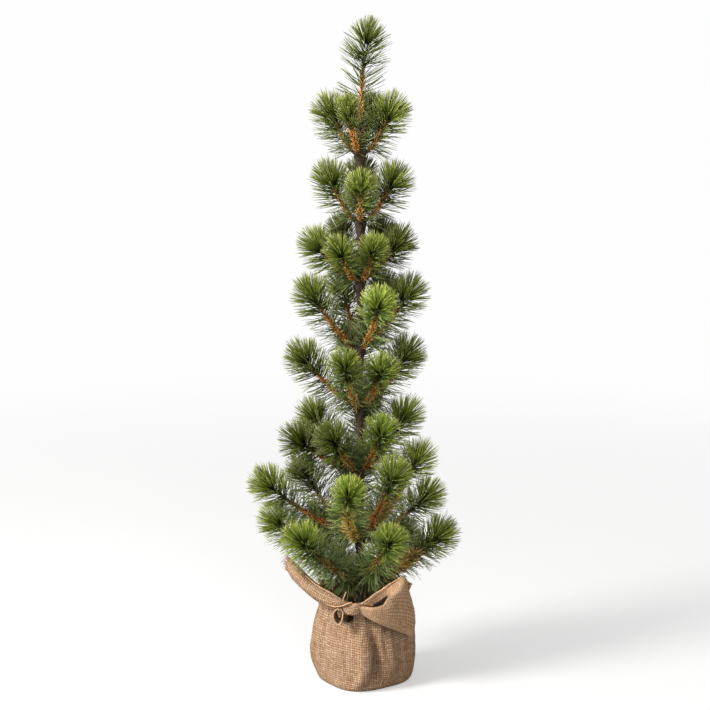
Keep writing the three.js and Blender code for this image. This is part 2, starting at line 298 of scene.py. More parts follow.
class Surface(Nodes):
    """A material whose nodes end in its Principled shader."""

    def __init__(self, name):
        self.material = bpy.data.materials.new(name)
        self.material.use_nodes = True
        super().__init__(self.material.node_tree)

    def finish(self, **inputs):
        """Feeds shader inputs, an underscore standing for each space in their names."""
        shader = self.tree.nodes["Principled BSDF"]
        for key, value in inputs.items():
            self.feed(shader.inputs[key.replace("_", " ")], value)
        return self.material


# ------------------------------------------------------------------ mesh helpers
# A "geometry" is (vertices in mm, faces, tint), with three tint values to each vertex.
def make_object(name, verts, faces, material, tint=None, look=None):
    mesh = bpy.data.meshes.new(name)
    mesh.from_pydata((np.asarray(verts, float) * MM).tolist(), [], faces)
    mesh.materials.append(material)
    for attribute, values in (("tint", tint), ("look", look)):
        if values is not None:
            rgba = np.ones((len(verts), 4), np.float32)
            rgba[:, :3] = values
            layer = mesh.attributes.new(attribute, "FLOAT_COLOR", "POINT")
            layer.data.foreach_set("color", rgba.ravel())
    mesh.polygons.foreach_set("use_smooth", [True] * len(mesh.polygons))
    mesh.validate(verbose=False)
    mesh.update()
    obj = bpy.data.objects.new(name, mesh)
    scene.collection.objects.link(obj)
    return obj


def add_piece(name, geometry, material, body, slot, replaces=None, look=None):
    """Makes an object and ties it to the CAD body it moves with and the piece it replaces."""
    verts, faces, tint = geometry
    obj = make_object(name, verts, faces, material, tint, look)
    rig.ride(obj, body)
    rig.slot(obj, slot)
    if replaces:
        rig.replaces(obj, replaces)


def join_parts(parts):
    faces, offset = [], 0
    for verts, part_faces, _ in parts:
        faces.extend(tuple(i + offset for i in face) for face in part_faces)
        offset += len(verts)
    return np.concatenate([p[0] for p in parts]), faces, np.concatenate([p[2] for p in parts])


def unit(v):
    v = np.asarray(v, float)
    return v / np.maximum(np.linalg.norm(v, axis=-1, keepdims=True), 1e-12)


def smoothstep(t):
    t = np.clip(t, 0, 1)
    return t * t * (3 - 2 * t)


def bell(value, centre, width):
    return np.exp(-(((value - centre) / width) ** 2))


def arc_length(points):
    """Distance from the start to each point."""
    return np.concatenate([[0], np.cumsum(np.linalg.norm(np.diff(points, axis=0), axis=1))])


def perpendicular(d):
    """Two unit vectors square to each row of d."""
    ref = np.where(np.abs(d[:, 2:3]) < 0.9, UP[None], np.array([[1.0, 0.0, 0.0]]))
    a = unit(np.cross(d, ref))
    return a, np.cross(d, a)


def turned(pair, angle):
    """The direction at an angle within each pair of perpendiculars."""
    a, b = pair
    return a * np.cos(angle)[:, None] + b * np.sin(angle)[:, None]


def grid_faces(rows, cols, closed, flip=False, offset=0):
    """Quads of a grid of vertices; a closed one joins its last column to its first."""
    i = np.arange(rows - 1)[:, None]
    j = np.arange(cols if closed else cols - 1)[None, :]
    j2 = (j + 1) % cols
    corners = (i * cols + j, i * cols + j2, (i + 1) * cols + j2, (i + 1) * cols + j)
    quads = np.stack(np.broadcast_arrays(*corners), -1).reshape(-1, 4) + offset
    return (quads[:, ::-1] if flip else quads).tolist()


def capped_faces(rows, cols):
    """A closed grid with a polygon over each end."""
    last = (rows - 1) * cols
    return grid_faces(rows, cols, True) + [tuple(reversed(range(cols))),
                                           tuple(last + j for j in range(cols))]


def spindles(base, direction, length, width, thick, bend_to, bend, profile, sides, rng):
    """Many thin pointed solids at once: needles, pegs and loose fibres. profile is
    [(distance along, radius share)]. Returns vertices, faces, the distance along at each
    vertex, and the number of vertices in each solid."""
    n = len(base)
    d = unit(direction)
    a, b = perpendicular(d)
    roll = rng.uniform(0, 2 * math.pi, n)[:, None]
    a, b = a * np.cos(roll) + b * np.sin(roll), -a * np.sin(roll) + b * np.cos(roll)
    rings = len(profile)
    per = rings * sides + 1
    verts = np.zeros((n, per, 3))
    along = np.zeros((n, per))
    angles = np.arange(sides) * 2 * math.pi / sides + math.pi / sides

    def centre(t):
        return base + d * (length * t)[:, None] + bend_to * (bend * length * t * t)[:, None]

    for k, (t, share) in enumerate(profile):
        for j, angle in enumerate(angles):
            verts[:, k * sides + j] = (centre(t)
                                       + a * (math.cos(angle) * share * width / 2)[:, None]
                                       + b * (math.sin(angle) * share * thick / 2)[:, None])
        along[:, k * sides:(k + 1) * sides] = t
    verts[:, -1] = centre(1.0)
    along[:, -1] = 1.0
    last = (rings - 1) * sides
    solid = grid_faces(rings, sides, True)
    solid += [(last + j, last + (j + 1) % sides, per - 1) for j in range(sides)]
    solid.append(tuple(reversed(range(sides))))
    faces = [tuple(i * per + x for x in face) for i in range(n) for face in solid]
    return verts.reshape(-1, 3), faces, along.reshape(-1), per


def tube(points, radii, sides, twist=0.0):
    """A capped tube along points. radii is (points, 1) or (points, sides); twist is the turn,
    in radians, from each ring to the next."""
    count = len(points)
    tangent = unit(np.gradient(points, axis=0))
    side = np.zeros_like(points)
    ref = UP if abs(tangent[0][2]) < 0.9 else np.array([1.0, 0.0, 0.0])
    side[0] = unit(np.cross(tangent[0], ref))
    for i in range(1, count):
        side[i] = unit(side[i - 1] - tangent[i] * np.dot(side[i - 1], tangent[i]))
    over = np.cross(tangent, side)
    angles = (2 * math.pi * np.arange(sides) / sides)[None, :] + twist * np.arange(count)[:, None]
    verts = (points[:, None] + side[:, None] * (np.cos(angles) * radii)[..., None]
             + over[:, None] * (np.sin(angles) * radii)[..., None])
    return verts.reshape(-1, 3), capped_faces(count, sides)


def value_noise(rng, shape, cells, closed=True):
    """Smooth noise on a rows x columns grid, -1 to 1; cells is (rows, columns) of its lattice."""
    cell_rows, cell_cols = cells
    lattice = rng.uniform(-1, 1, (cell_rows + 2, cell_cols + (0 if closed else 2)))
    r = np.linspace(0, cell_rows, shape[0])
    c = np.arange(shape[1]) * cell_cols / (shape[1] if closed else max(shape[1] - 1, 1))
    r0, c0 = np.floor(r).astype(int), np.floor(c).astype(int)
    fr, fc = smoothstep(r - r0)[:, None], smoothstep(c - c0)[None, :]
    r1 = np.minimum(r0 + 1, cell_rows + 1)
    c1 = (c0 + 1) % cell_cols if closed else c0 + 1
    c0 = c0 % cell_cols if closed else c0
    low = lattice[np.ix_(r0, c0)] * (1 - fc) + lattice[np.ix_(r0, c1)] * fc
    high = lattice[np.ix_(r1, c0)] * (1 - fc) + lattice[np.ix_(r1, c1)] * fc
    return low * (1 - fr) + high * fr


# ------------------------------------------------------------------ tree materials
def needle_material():
    """tint: distance along the needle, age, random. look: brightness of the sprig, partly its own tone and partly
    painted light and shade, then fresh green.
    """
    m = Surface("needle_pe")
    along, age, random = m.attribute("tint")
    sprig_tone_and_painted_light, greenness, _ = m.attribute("look")
    # each ramp darkens towards the needle's root as painted shade deep in the sprig; the paler tips are the needles'
    # own colour
    olive = m.ramp(along, [(0.0, 34, 46, 14), (0.14, 70, 88, 26), (0.4, 118, 134, 40),
                           (0.78, 150, 160, 58), (1.0, 186, 188, 102)])
    lush = m.ramp(along, [(0.0, 36, 58, 14), (0.14, 70, 104, 28), (0.4, 112, 144, 32),
                          (0.78, 150, 174, 50), (1.0, 186, 196, 88)])
    fresh = m.mix(greenness, olive, lush)
    old = m.ramp(along, [(0.0, 50, 62, 34), (0.3, 96, 120, 68), (0.8, 128, 148, 92),
                         (1.0, 172, 172, 124)])
    # each needle varies a little in hue and saturation and a lot in brightness
    random2 = m.math("FRACT", m.multiply(random, 7.31))
    vary = m.node("ShaderNodeHueSaturation")
    m.feed(vary.inputs["Hue"], m.remap(random, span=(0, 1), to=(0.486, 0.508)))
    m.feed(vary.inputs["Saturation"], m.remap(random, span=(0, 1), to=(0.84, 1.08)))
    # the sprig's brightness, partly its own tone and partly painted light and shade, scales the Value
    m.feed(vary.inputs["Value"],
           m.multiply(m.remap(random2, span=(0, 1), to=(0.46, 1.48)), sprig_tone_and_painted_light))
    m.feed(vary.inputs["Color"], m.mix(age, fresh, old))
    grain = m.noise(scale=900, detail=2, vector=m.coords())
    colour = m.mix(m.remap(grain, span=(0.35, 0.7), to=(0.0, 0.2)),
                   vary.outputs[0], srgb(58, 72, 26))
    # a few old needles are rusty towards their tips
    rust = m.multiply(m.multiply(m.remap(random2, span=(0.86, 0.93)), age),
                      m.remap(along, span=(0.3, 1.0)))
    return m.finish(Base_Color=m.mix(rust, colour, srgb(150, 96, 52)),
                    Roughness=m.remap(grain, span=(0.3, 0.7), to=(0.34, 0.5)),
                    Specular_IOR_Level=0.5)


def twig_material():
    """tint: distance from trunk to tip, 0 for stem or 1 for peg, random. look: gold, brown."""
    m = Surface("twig_pegs")
    along, kind, random = m.attribute("tint")
    gold, brown, _ = m.attribute("look")
    # pegs are painted brighter than their own orange against the shade among the needles, and the palest end of each
    # ramp is a painted highlight
    orange = m.ramp(random, [(0.0, 188, 90, 26), (0.3, 244, 138, 46), (0.6, 255, 184, 86),
                             (1.0, 255, 236, 168)])
    golden = m.ramp(random, [(0.0, 204, 146, 44), (0.3, 250, 198, 76), (0.6, 255, 232, 124),
                             (1.0, 255, 250, 200)])
    umber = m.ramp(random, [(0.0, 140, 92, 40), (0.35, 200, 142, 66), (0.7, 236, 184, 100),
                            (1.0, 250, 218, 150)])
    stem = m.ramp(along, [(0.0, 70, 50, 34), (0.25, 112, 68, 30), (0.5, 108, 76, 28),
                          (0.66, 54, 62, 20), (1.0, 34, 48, 14)])
    green = m.ramp(random, [(0.0, 50, 60, 18), (1.0, 98, 106, 42)])
    # pegs turn green towards the tip and brown at the trunk
    peg = m.mix(brown, m.mix(gold, orange, golden), umber)
    peg = m.mix(m.remap(along, span=(0.5, 0.72)), peg, green)
    peg = m.mix(m.remap(along, span=(0.0, 0.08), to=(0.6, 0.0)), peg, srgb(104, 66, 36))
    grain = m.noise(scale=700, vector=m.coords())
    colour = m.mix(m.remap(grain, span=(0.4, 0.75), to=(0.0, 0.22)),
                   m.mix(kind, stem, peg), srgb(96, 58, 24))
    return m.finish(Base_Color=colour,
                    Roughness=m.remap(grain, span=(0.3, 0.7), to=(0.4, 0.6)),
                    Normal=m.bump(grain, strength=0.25, distance=0.0004))


def bark_material():
    """tint: place within a turn of tape, painted shade in the grooves and dents, and a constant."""
    m = Surface("trunk_bark")
    coords = m.coords()
    _, groove_shade, _ = m.attribute("tint")
    coarse = m.noise(scale=160, detail=5, roughness=0.62, distortion=0.6, vector=coords)
    fine = m.noise(scale=620, detail=4, roughness=0.6, vector=coords)
    colour = m.ramp(coarse, [(0.28, 40, 32, 23), (0.45, 70, 57, 42), (0.6, 93, 78, 57),
                             (0.78, 120, 103, 78)])
    colour = m.mix(m.remap(fine, span=(0.45, 0.72), to=(0.0, 0.5)), colour, srgb(56, 44, 33))
    # painted shade in the tape's grooves and dents
    colour = m.mix(groove_shade, colour, srgb(30, 23, 17))
    height = m.math("ADD", m.multiply(coarse, 0.7), m.multiply(fine, 0.3))
    return m.finish(Base_Color=colour,
                    Roughness=m.remap(fine, span=(0.3, 0.7), to=(0.62, 0.86)),
                    Normal=m.bump(height, strength=0.6, distance=0.0008))


NEEDLE = needle_material()
TWIG = twig_material()
BARK = bark_material()


# ------------------------------------------------------------------ sprigs
# distance along, share of the width
NEEDLE_PROFILE = [(0.0, 0.72), (0.5, 1.0), (0.9, 0.68)]
PEG_PROFILE = [(0.0, 0.75), (0.6, 1.0)]


class Stem:
    """A twig's quadratic curve with a sideways wander, sampled by length."""

    def __init__(self, p0, p1, p2, rng, wander):
        t = np.linspace(0, 1, 60)[:, None]
        curve = (1 - t) ** 2 * p0 + 2 * (1 - t) * t * p1 + t * t * p2
        side = unit(np.cross(p2 - p0, UP) + 1e-9)
        phase = rng.uniform(0, 6.28)
        wave = np.sin(5 * t + phase) * 0.8 + 0.4 * np.sin(11 * t + 2 * phase)
        self.points = curve + side * (wander * np.sin(math.pi * t) * wave)
        self.lengths = arc_length(self.points)
        self.tangents = unit(np.gradient(self.points, axis=0))
        self.length = float(self.lengths[-1])

    def at(self, s):
        """Points and directions at lengths s, carried on straight past either end."""
        c = np.clip(s, 0, self.length)
        p, d = (np.stack([np.interp(c, self.lengths, values[:, i]) for i in range(3)], -1)
                for values in (self.points, self.tangents))
        d = unit(d)
        return p + d * (s - c)[..., None], d


def zone(rng, count, span, lean, length, age, bend, width, dome=False, spread=3.6):
    """One stretch of needles, in pairs that share a root. span is along the stem; lean, in
    degrees from the stem's direction, runs over it. A dome instead spreads its pairs evenly
    over a cap of half angle lean[0]."""
    pairs = max(int(round(count / 2)), 1)
    u = (rng.permutation(pairs) + rng.uniform(0, 1, pairs)) / pairs
    if dome:
        c = (rng.permutation(pairs) + rng.uniform(0, 1, pairs)) / pairs
        theta = np.degrees(np.arccos(1 - c * (1 - math.cos(math.radians(lean[0])))))
        back = np.clip(theta / lean[0] + rng.normal(0, 0.12, pairs), 0, 1)
        s = span[1] - (span[1] - span[0]) * back
    else:
        s = span[0] + (span[1] - span[0]) * u
        theta = lean[0] + (lean[1] - lean[0]) * u + rng.normal(0, 5.5, pairs)
    phi = np.arange(pairs) * GOLDEN_ANGLE + rng.normal(0, 0.35, pairs) + rng.uniform(0, 6.28)
    pair_age = rng.uniform(*age, pairs)
    s, theta, phi, pair_age = (np.repeat(x, 2) for x in (s, theta, phi, pair_age))
    n = pairs * 2
    steepness = np.maximum(np.sin(np.radians(np.clip(theta, 12, 90))), 0.2)
    # the draws are taken in this order
    return dict(
        s=s + rng.normal(0, 0.25, n),
        theta=np.radians(theta + rng.normal(0, spread, n)),
        phi=phi + rng.normal(0, math.radians(spread), n) / steepness,
        length=rng.uniform(*length, n),
        age=np.clip(pair_age + rng.normal(0, 0.04, n), 0, 1),
        bend=np.repeat(rng.uniform(*bend, pairs), 2) + rng.normal(0, 0.03, n),
        width=width * rng.uniform(0.86, 1.12, n),
    )


def needle_geometry(stem, zones, rng, lift, bare=None, left=0.16):
    """lift raises fresh needles. bare is a direction in which old wood keeps only the share
    `left` of its needles, so that the pegs show."""
    z = {key: np.concatenate([part[key] for part in zones]) for key in zones[0]}
    p, d = stem.at(z["s"])
    if bare is not None:
        facing = turned(perpendicular(d), z["phi"]) @ bare
        keep = (facing < 0.42) | (z["age"] < 0.3) | (rng.uniform(0, 1, len(facing)) < left)
        z = {key: values[keep] for key, values in z.items()}
        p, d = p[keep], d[keep]
    radial = turned(perpendicular(d), z["phi"])
    direction = d * np.cos(z["theta"])[:, None] + radial * np.sin(z["theta"])[:, None]
    direction[:, 2] += lift * (1 - z["age"])
    direction = unit(direction)
    bend_to = unit(d * 0.8 + np.array([0, 0, 0.6]))
    bend_to = bend_to - direction * np.sum(bend_to * direction, 1, keepdims=True)
    bend_to = unit(bend_to + rng.normal(0, 0.25, bend_to.shape))
    verts, faces, along, per = spindles(
        p + radial * 0.9, direction, z["length"], z["width"], z["width"] * 0.7,
        bend_to, z["bend"], NEEDLE_PROFILE, 3, rng)
    random = np.repeat(rng.uniform(0, 1, len(z["s"])), per)
    return verts, faces, np.stack([along, np.repeat(z["age"], per), random], 1)


def twig_geometry(stem, rng, span, pegs, root_radius, size, long_to=0.45, tip_radius=1.2):
    """A stem with pegs over span. Pegs start to shorten at long_to, a share of the stem."""
    sides = 8
    s = np.linspace(-1.5, span[1] + 3, 26)
    points, _ = stem.at(s)
    radii = np.interp(s, [0, stem.length * 0.3, stem.length],
                      [root_radius, (root_radius + tip_radius) / 2, tip_radius])
    radii = radii * (1 + 0.08 * np.sin(s * 0.9))
    verts, faces = tube(points, radii[:, None], sides)
    along = np.repeat(np.clip(s / stem.length, 0, 1), sides)
    tint = np.stack([along, np.zeros_like(along), np.full_like(along, 0.5)], 1)
    wire = (verts, faces, tint)

    k = np.arange(pegs)
    s = span[0] + (span[1] - span[0]) * (k + 0.5) / pegs + rng.normal(0, 0.5, pegs)
    phi = k * GOLDEN_ANGLE + rng.normal(0, 0.15, pegs)
    points, d = stem.at(s)
    radial = turned(perpendicular(d), phi)
    stem_radius = np.interp(s, [0, stem.length], [root_radius, tip_radius])[:, None]
    lean = rng.uniform(0.45, 1.0, pegs)[:, None]
    direction = unit(d * (1.05 - 0.45 * lean) + radial * lean + rng.normal(0, 0.14, radial.shape))
    usual = np.interp(s / stem.length, [0.05, 0.22, long_to, 0.8], [4.2, 6.6, 5.4, 3.2])
    length = size * rng.uniform(0.65, 1.3, pegs) * usual
    width = rng.uniform(0.75, 1.25, pegs)
    verts, faces, along, per = spindles(
        points + radial * stem_radius * 0.55, direction, length, width, width * 0.8,
        unit(d + np.array([0, 0, 0.4])), rng.uniform(-0.1, 0.55, pegs), PEG_PROFILE, 4, rng)
    random = np.clip(np.repeat(rng.uniform(0, 1, pegs), per) * 0.75 + along * 0.25, 0, 1)
    tint = np.stack([np.repeat(s / stem.length, per), np.ones(pegs * per), random], 1)
    return join_parts([wire, (verts, faces, tint)])


def add_sprig(body, replaces, needles, twig, needle_look, twig_look):
    add_piece("needles_" + body, needles, NEEDLE, body, "needles", replaces, needle_look)
    add_piece("twig_" + body, twig, TWIG, body, "needles", replaces, twig_look)


def build_sprig(seed, whorl, whorl_z, side, azimuth, reach, rise, lift,
                value, green, gold, brown, peg_size, dome, needle_scale):
    rng = np.random.default_rng(seed)
    body = f"w{whorl}_{side}"
    angle = math.radians(azimuth)
    root_z = whorl_z + lift

    def out(radius, z):
        return np.array([radius * math.cos(angle), radius * math.sin(angle), z])

    bow = np.array([-14.0, 0, 0]) if body == "w7_front" else 0.0  # this one bows to the left
    middle = out(PIVOT_RADIUS + 0.42 * (reach - PIVOT_RADIUS), root_z + 0.24 * (rise - lift))
    stem = Stem(out(PIVOT_RADIUS, root_z), middle + bow, out(reach, root_z + rise - lift),
                rng, wander=1.2)
    wire_end = stem.length - 12.5  # the wire ends inside its tuft
    fresh_start = wire_end - 24
    old = fresh_start - 4  # length of stem with old needles
    old_middle = fresh_start - old * 0.5
    tone = rng.uniform(-0.03, 0.08)
    thin = 0.6 if body == "w7_front_right" else 1.0
    zones = [
        # round tuft at the tip
        zone(rng, 216, span=(wire_end - 7, wire_end + 1), lean=(dome, 0),
             length=(33 * needle_scale, 37.5 * needle_scale), age=(0.0 + tone, 0.07 + tone),
             bend=(0.02, 0.14), width=1.16, dome=True, spread=4.4),
        # collar behind it
        zone(rng, 158, span=(wire_end - 27, wire_end - 6), lean=(dome + 11, dome - 2),
             length=(31 * needle_scale, 36.5 * needle_scale), age=(0.06 + tone, 0.34 + tone),
             bend=(0.04, 0.2), width=1.12, spread=4.4),
        # outer and inner half of the old wood
        zone(rng, int(old * 1.85 * thin), span=(old_middle, fresh_start), lean=(78, 76),
             length=(28, 34), age=(0.35, 0.8), bend=(0.02, 0.22), width=1.08, spread=5),
        zone(rng, int(old * 1.9 * thin), span=(4, old_middle), lean=(84, 78),
             length=(27, 34), age=(0.6, 1.0), bend=(0.0, 0.22), width=1.06, spread=5),
    ]
    if whorl >= 6:  # low sprigs keep more old needles, and some lean back to the trunk
        far = 5 if body in ("w8_front_left", "w8_left") else 0
        zones.append(zone(rng, int(old * (0.8 + 0.16 * far)), span=(3, wire_end - 22),
                          lean=(104, 92 - far), length=(27 + far, 35 + far), age=(0.5, 1.0),
                          bend=(0.05, 0.3), width=0.98, spread=6))
    if abs(azimuth + 90) < 52:
        bare = unit([0, -1.0, 0.1])
    elif 1.2 < peg_size < 2:
        bare = unit([math.cos(angle), math.sin(angle), -0.35])
    else:
        bare = None
    needles = needle_geometry(stem, zones, rng, lift=0.08, bare=bare,
                              left=0.7 if whorl == 8 else 0.16)
    pegs_per_mm = 8.0 if peg_size > 2 else 4.6
    twig = twig_geometry(stem, rng, span=(3, wire_end - 6), pegs=int((wire_end - 9) * pegs_per_mm),
                         root_radius=2.0, size=peg_size)
    # value is the sprig's brightness: partly its own tone, partly painted light and shade
    add_sprig(body, "sprig_" + body, needles, twig, (value, green, 0), (gold, brown, 0))


def build_leader():
    rng = np.random.default_rng(77)
    stem = Stem(np.array([0.0, 0, LEADER_BOTTOM]), np.array([0.0, 0, LEADER_BOTTOM + 80]),
                np.array([9.0, 0, LEADER_TOP]), rng, wander=0.8)
    L = stem.length
    zones = [  # from the tip down
        zone(rng, 150, span=(L - 7, L + 1), lean=(62, 0), length=(28, 32.5), age=(0.0, 0.08),
             bend=(0.0, 0.1), width=1.16, dome=True, spread=4),
        zone(rng, 26, span=(L - 2, L + 1), lean=(22, 4), length=(30, 33), age=(0.0, 0.08),
             bend=(0.0, 0.1), width=1.16),
        zone(rng, 124, span=(L - 34, L - 6), lean=(70, 55), length=(34, 40), age=(0.04, 0.24),
             bend=(0.02, 0.16), width=1.14, spread=4),
        zone(rng, 104, span=(L * 0.42, L - 30), lean=(68, 62), length=(35, 41), age=(0.25, 0.65),
             bend=(0.0, 0.16), width=1.1),
        zone(rng, 74, span=(L * 0.08, L * 0.44), lean=(66, 62), length=(31, 40), age=(0.4, 0.9),
             bend=(0.0, 0.16), width=1.0),
    ]
    needles = needle_geometry(stem, zones, rng, lift=0.05)
    twig = twig_geometry(stem, rng, span=(6, L * 0.86), pegs=int(L * 3.0), root_radius=2.2,
                         size=0.95, long_to=0.6)
    add_sprig("leader", "leader_sprig", needles, twig, (0.95, 0.15, 0), (0.35, 0.15, 0))


seed = 1000
for number, (whorl_z, sprigs) in enumerate(WHORLS, 1):
    for sprig in sprigs:
        build_sprig(seed, number, whorl_z, *sprig)
        seed += 1
build_leader()


# ------------------------------------------------------------------ trunk and whorl bindings
TAPE_PITCH = 8.5  # rise of the trunk tape in one turn
BINDING_PITCH = 3.4


def ring_angles(count):
    return (np.arange(count) * 2 * math.pi / count)[None, :]


def trunk_sway(z):
    """Sideways lean of the trunk, dying out at the top."""
    return 0.7 * np.sin(z / 95.0 + 1.0) * smoothstep((TRUNK_TOP - z) / 60)


def bark_geometry(r, angles, z, sway, wind, groove_shade):
    verts = np.stack(np.broadcast_arrays(r * np.cos(angles) + sway, r * np.sin(angles), z), -1)
    tint = np.stack(np.broadcast_arrays(wind, groove_shade, 0 * r + 0.5), -1)
    return verts.reshape(-1, 3), capped_faces(*r.shape), tint.reshape(-1, 3)


def build_trunk():
    rng = np.random.default_rng(5)
    rows, cols = 560, 26
    z = np.linspace(TRUNK_BOTTOM, TRUNK_TOP, rows)[:, None]
    angles = ring_angles(cols)
    taper = 5.35 + (4.35 - 5.35) * (z - TRUNK_BOTTOM) / (TRUNK_TOP - TRUNK_BOTTOM)
    # each turn of the climbing tape overlaps the last
    wrap = ((z - TRUNK_BOTTOM) / TAPE_PITCH + angles / (2 * math.pi)) % 1.0
    step = 0.34 * smoothstep(wrap / 0.16) * (1 - 0.85 * wrap)
    lumps = (0.42 * value_noise(rng, (rows, cols), (150, 7))
             + 0.26 * value_noise(rng, (rows, cols), (330, 13)))
    # painted shade along the tape's seam and in the dents
    groove_shade = (smoothstep((0.1 - np.abs(wrap - 0.02)) / 0.1) * 0.75
              + np.clip(-lumps * 0.7, 0, 0.4))
    sway = trunk_sway(z) * smoothstep((z - TRUNK_BOTTOM) / 60)
    geometry = bark_geometry(taper + step - 0.2 + lumps, angles, z, sway, wrap,
                             np.clip(groove_shade, 0, 1))
    add_piece("trunk_bark", geometry, BARK, "base", "trunk_wrap", "trunk_wrap")


def build_whorl(number, whorl_z, roots):
    """Tape that starts round the trunk and opens into a lobe for each (azimuth, lift) root."""
    rng = np.random.default_rng(299 + number)
    shape = rows, cols = 44, 48
    z = whorl_z - 25 + 34.5 * np.linspace(0, 1, rows)[:, None]
    height = z - whorl_z
    angles = ring_angles(cols)
    base = 5.0 + 0.9 * smoothstep((height + 25) / 22) - 2.4 * smoothstep((height - 4) / 6)
    lobes = np.zeros(shape)
    for azimuth, lift in roots:
        away = (angles - math.radians(azimuth) + math.pi) % (2 * math.pi) - math.pi
        lobe = 2.6 * smoothstep((height + 21) / 21) * bell(away, 0, math.radians(25))
        lobes = np.maximum(lobes, lobe * (1 - smoothstep((height - lift - 3.5) / 5.5)))
    turns = 0.22 * np.sin(2 * math.pi * (height / BINDING_PITCH + angles / (2 * math.pi)))
    r = (base + lobes + turns * smoothstep((height + 25) / 5)
         + 0.3 * value_noise(rng, shape, (14, 12)) + 0.18 * value_noise(rng, shape, (26, 22)))
    r = np.maximum(r, 2.9)
    r[0] = np.maximum(r[0], 5.25)
    uneven_z = z + 0.5 * value_noise(rng, shape, (10, 9))
    # painted shade in the troughs between the binding's turns
    groove_shade = np.clip(0.5 - turns * 1.9, 0, 1) * 0.6
    geometry = bark_geometry(r, angles, uneven_z, trunk_sway(z), 0 * r, groove_shade)
    add_piece(f"whorl_binding_{number}", geometry, BARK, "base", "tape", f"whorl_tape_{number}")


build_trunk()
for number, (whorl_z, sprigs) in enumerate(WHORLS, 1):
    build_whorl(number, whorl_z, [(sprig[1], sprig[4]) for sprig in sprigs])


# ------------------------------------------------------------------ CAD pieces that stay
def rod_material():
    m = Surface("rod_steel")
    stain = m.noise(scale=420, detail=4, vector=m.coords())
    colour = m.mix(m.remap(stain, span=(0.4, 0.7)), (0.30, 0.30, 0.31, 1), (0.16, 0.13, 0.11, 1))
    return m.finish(Base_Color=colour, Metallic=1.0,
                    Roughness=m.remap(stain, span=(0.3, 0.7), to=(0.32, 0.55)))


def cement_material():
    m = Surface("cement_grey")
    coords = m.coords()
    cloud = m.noise(scale=90, detail=6, roughness=0.6, vector=coords)
    grit = m.noise(scale=700, vector=coords)
    colour = m.ramp(cloud, [(0.3, 112, 110, 104), (0.7, 158, 155, 147)])
    colour = m.mix(m.remap(grit, span=(0.55, 0.75), to=(0, 0.6)), colour, srgb(84, 82, 78))
    return m.finish(Base_Color=colour, Roughness=0.95,
                    Normal=m.bump(grit, strength=0.5, distance=0.0006))


def cup_material():
    m = Surface("cup_black")
    scuff = m.noise(scale=300, detail=4, vector=m.coords())
    colour = m.mix(m.remap(scuff, span=(0.35, 0.7)), srgb(26, 26, 27), srgb(44, 42, 40))
    return m.finish(Base_Color=colour,
                    Roughness=m.remap(scuff, span=(0.3, 0.7), to=(0.42, 0.66)),
                    Normal=m.bump(scuff, strength=0.12, distance=0.0004))


for node, material in (("trunk_rod", rod_material()), ("cement_weight", cement_material()),
                       ("pot_cup", cup_material())):
    slots = NODES[node].data.materials
    slots.clear()
    slots.append(material)


# ------------------------------------------------------------------ woven cloth
PITCH_U, PITCH_V = 2.75, 3.1  # spacing of the upright and the level yarns, mm
STEP = 3  # samples to each yarn
# The burlap tint is (u, v, shade): yarn coordinates across the upright and the level yarns,
# then 0 for painted shade, 0.5 for plain, and towards 1 for the paler yarn of the hem, loose
# ends and threads, and for painted light on the right tail.


def burlap_material():
    m = Surface("burlap_jute")
    u, v, shade = m.attribute("tint")
    iu, iv = m.math("ROUND", u), m.math("ROUND", v)

    def off_centre(coordinate, yarn):
        """0 on the yarn's centre line, 1 midway to the next yarn."""
        return m.multiply(m.math("ABSOLUTE", m.math("SUBTRACT", coordinate, yarn)), 2.0)

    def yarn_tone(yarn, along, layer):
        """Noise stretched along each yarn; layer keeps the two directions apart."""
        place = m.node("ShaderNodeCombineXYZ")
        m.feed(place.inputs[0], m.multiply(yarn, 0.731))
        m.feed(place.inputs[1], m.multiply(along, 0.05))
        place.inputs[2].default_value = layer
        return m.noise(scale=3.1, roughness=0.55, vector=place.outputs[0])

    x, y = off_centre(u, iu), off_centre(v, iv)
    parity = m.math("MODULO", m.math("ADD", iu, iv), 2.0)  # which yarn lies on top
    tone = m.mix(parity, yarn_tone(iu, v, 3.3), yarn_tone(iv, u, 9.1))
    coords = m.coords()
    fibre = m.noise(scale=1700, roughness=0.6, vector=coords)
    patch = m.noise(scale=24, roughness=0.55, vector=coords)
    tone = m.math("ADD", m.multiply(m.channels(tone)[0], 0.72), m.multiply(fibre, 0.28))
    c = m.ramp(tone, [(0.3, 142, 106, 78), (0.44, 184, 147, 115), (0.56, 212, 178, 145),
                      (0.72, 236, 208, 176)])
    c = m.mix(m.remap(patch, span=(0.42, 0.7), to=(0.0, 0.32)), c, srgb(160, 118, 86))
    # painted shade: darker at the yarn's edges, where each round yarn turns away, and darkest in
    # the gaps between yarns
    across = m.math("ADD", m.multiply(parity, y),
                    m.multiply(m.math("SUBTRACT", 1.0, parity), x))
    c = m.mix(m.multiply(m.remap(across, span=(0.42, 1.0)), 0.7), c, srgb(104, 74, 50))
    gap = m.multiply(m.remap(x, span=(0.45, 0.85)), m.remap(y, span=(0.45, 0.85)))
    c = m.mix(m.multiply(gap, 0.9), c, srgb(52, 35, 22))
    # shade above 0.5 mixes in pale yarn, painted light on the right tail; below 0.5 it mixes in near black as painted
    # shade
    c = m.mix(m.remap(shade, span=(0.5, 1.0)), c, srgb(246, 198, 148))
    c = m.mix(m.remap(shade, span=(0.5, 0.0)), c, srgb(18, 11, 7))
    height = m.math("ADD", m.multiply(fibre, 0.6),
                    m.multiply(m.math("SUBTRACT", 1.0, across), 0.4))
    return m.finish(Base_Color=c, Roughness=m.remap(fibre, span=(0.3, 0.7), to=(0.82, 0.97)),
                    Specular_IOR_Level=0.15,
                    Normal=m.bump(height, strength=0.7, distance=0.0009))


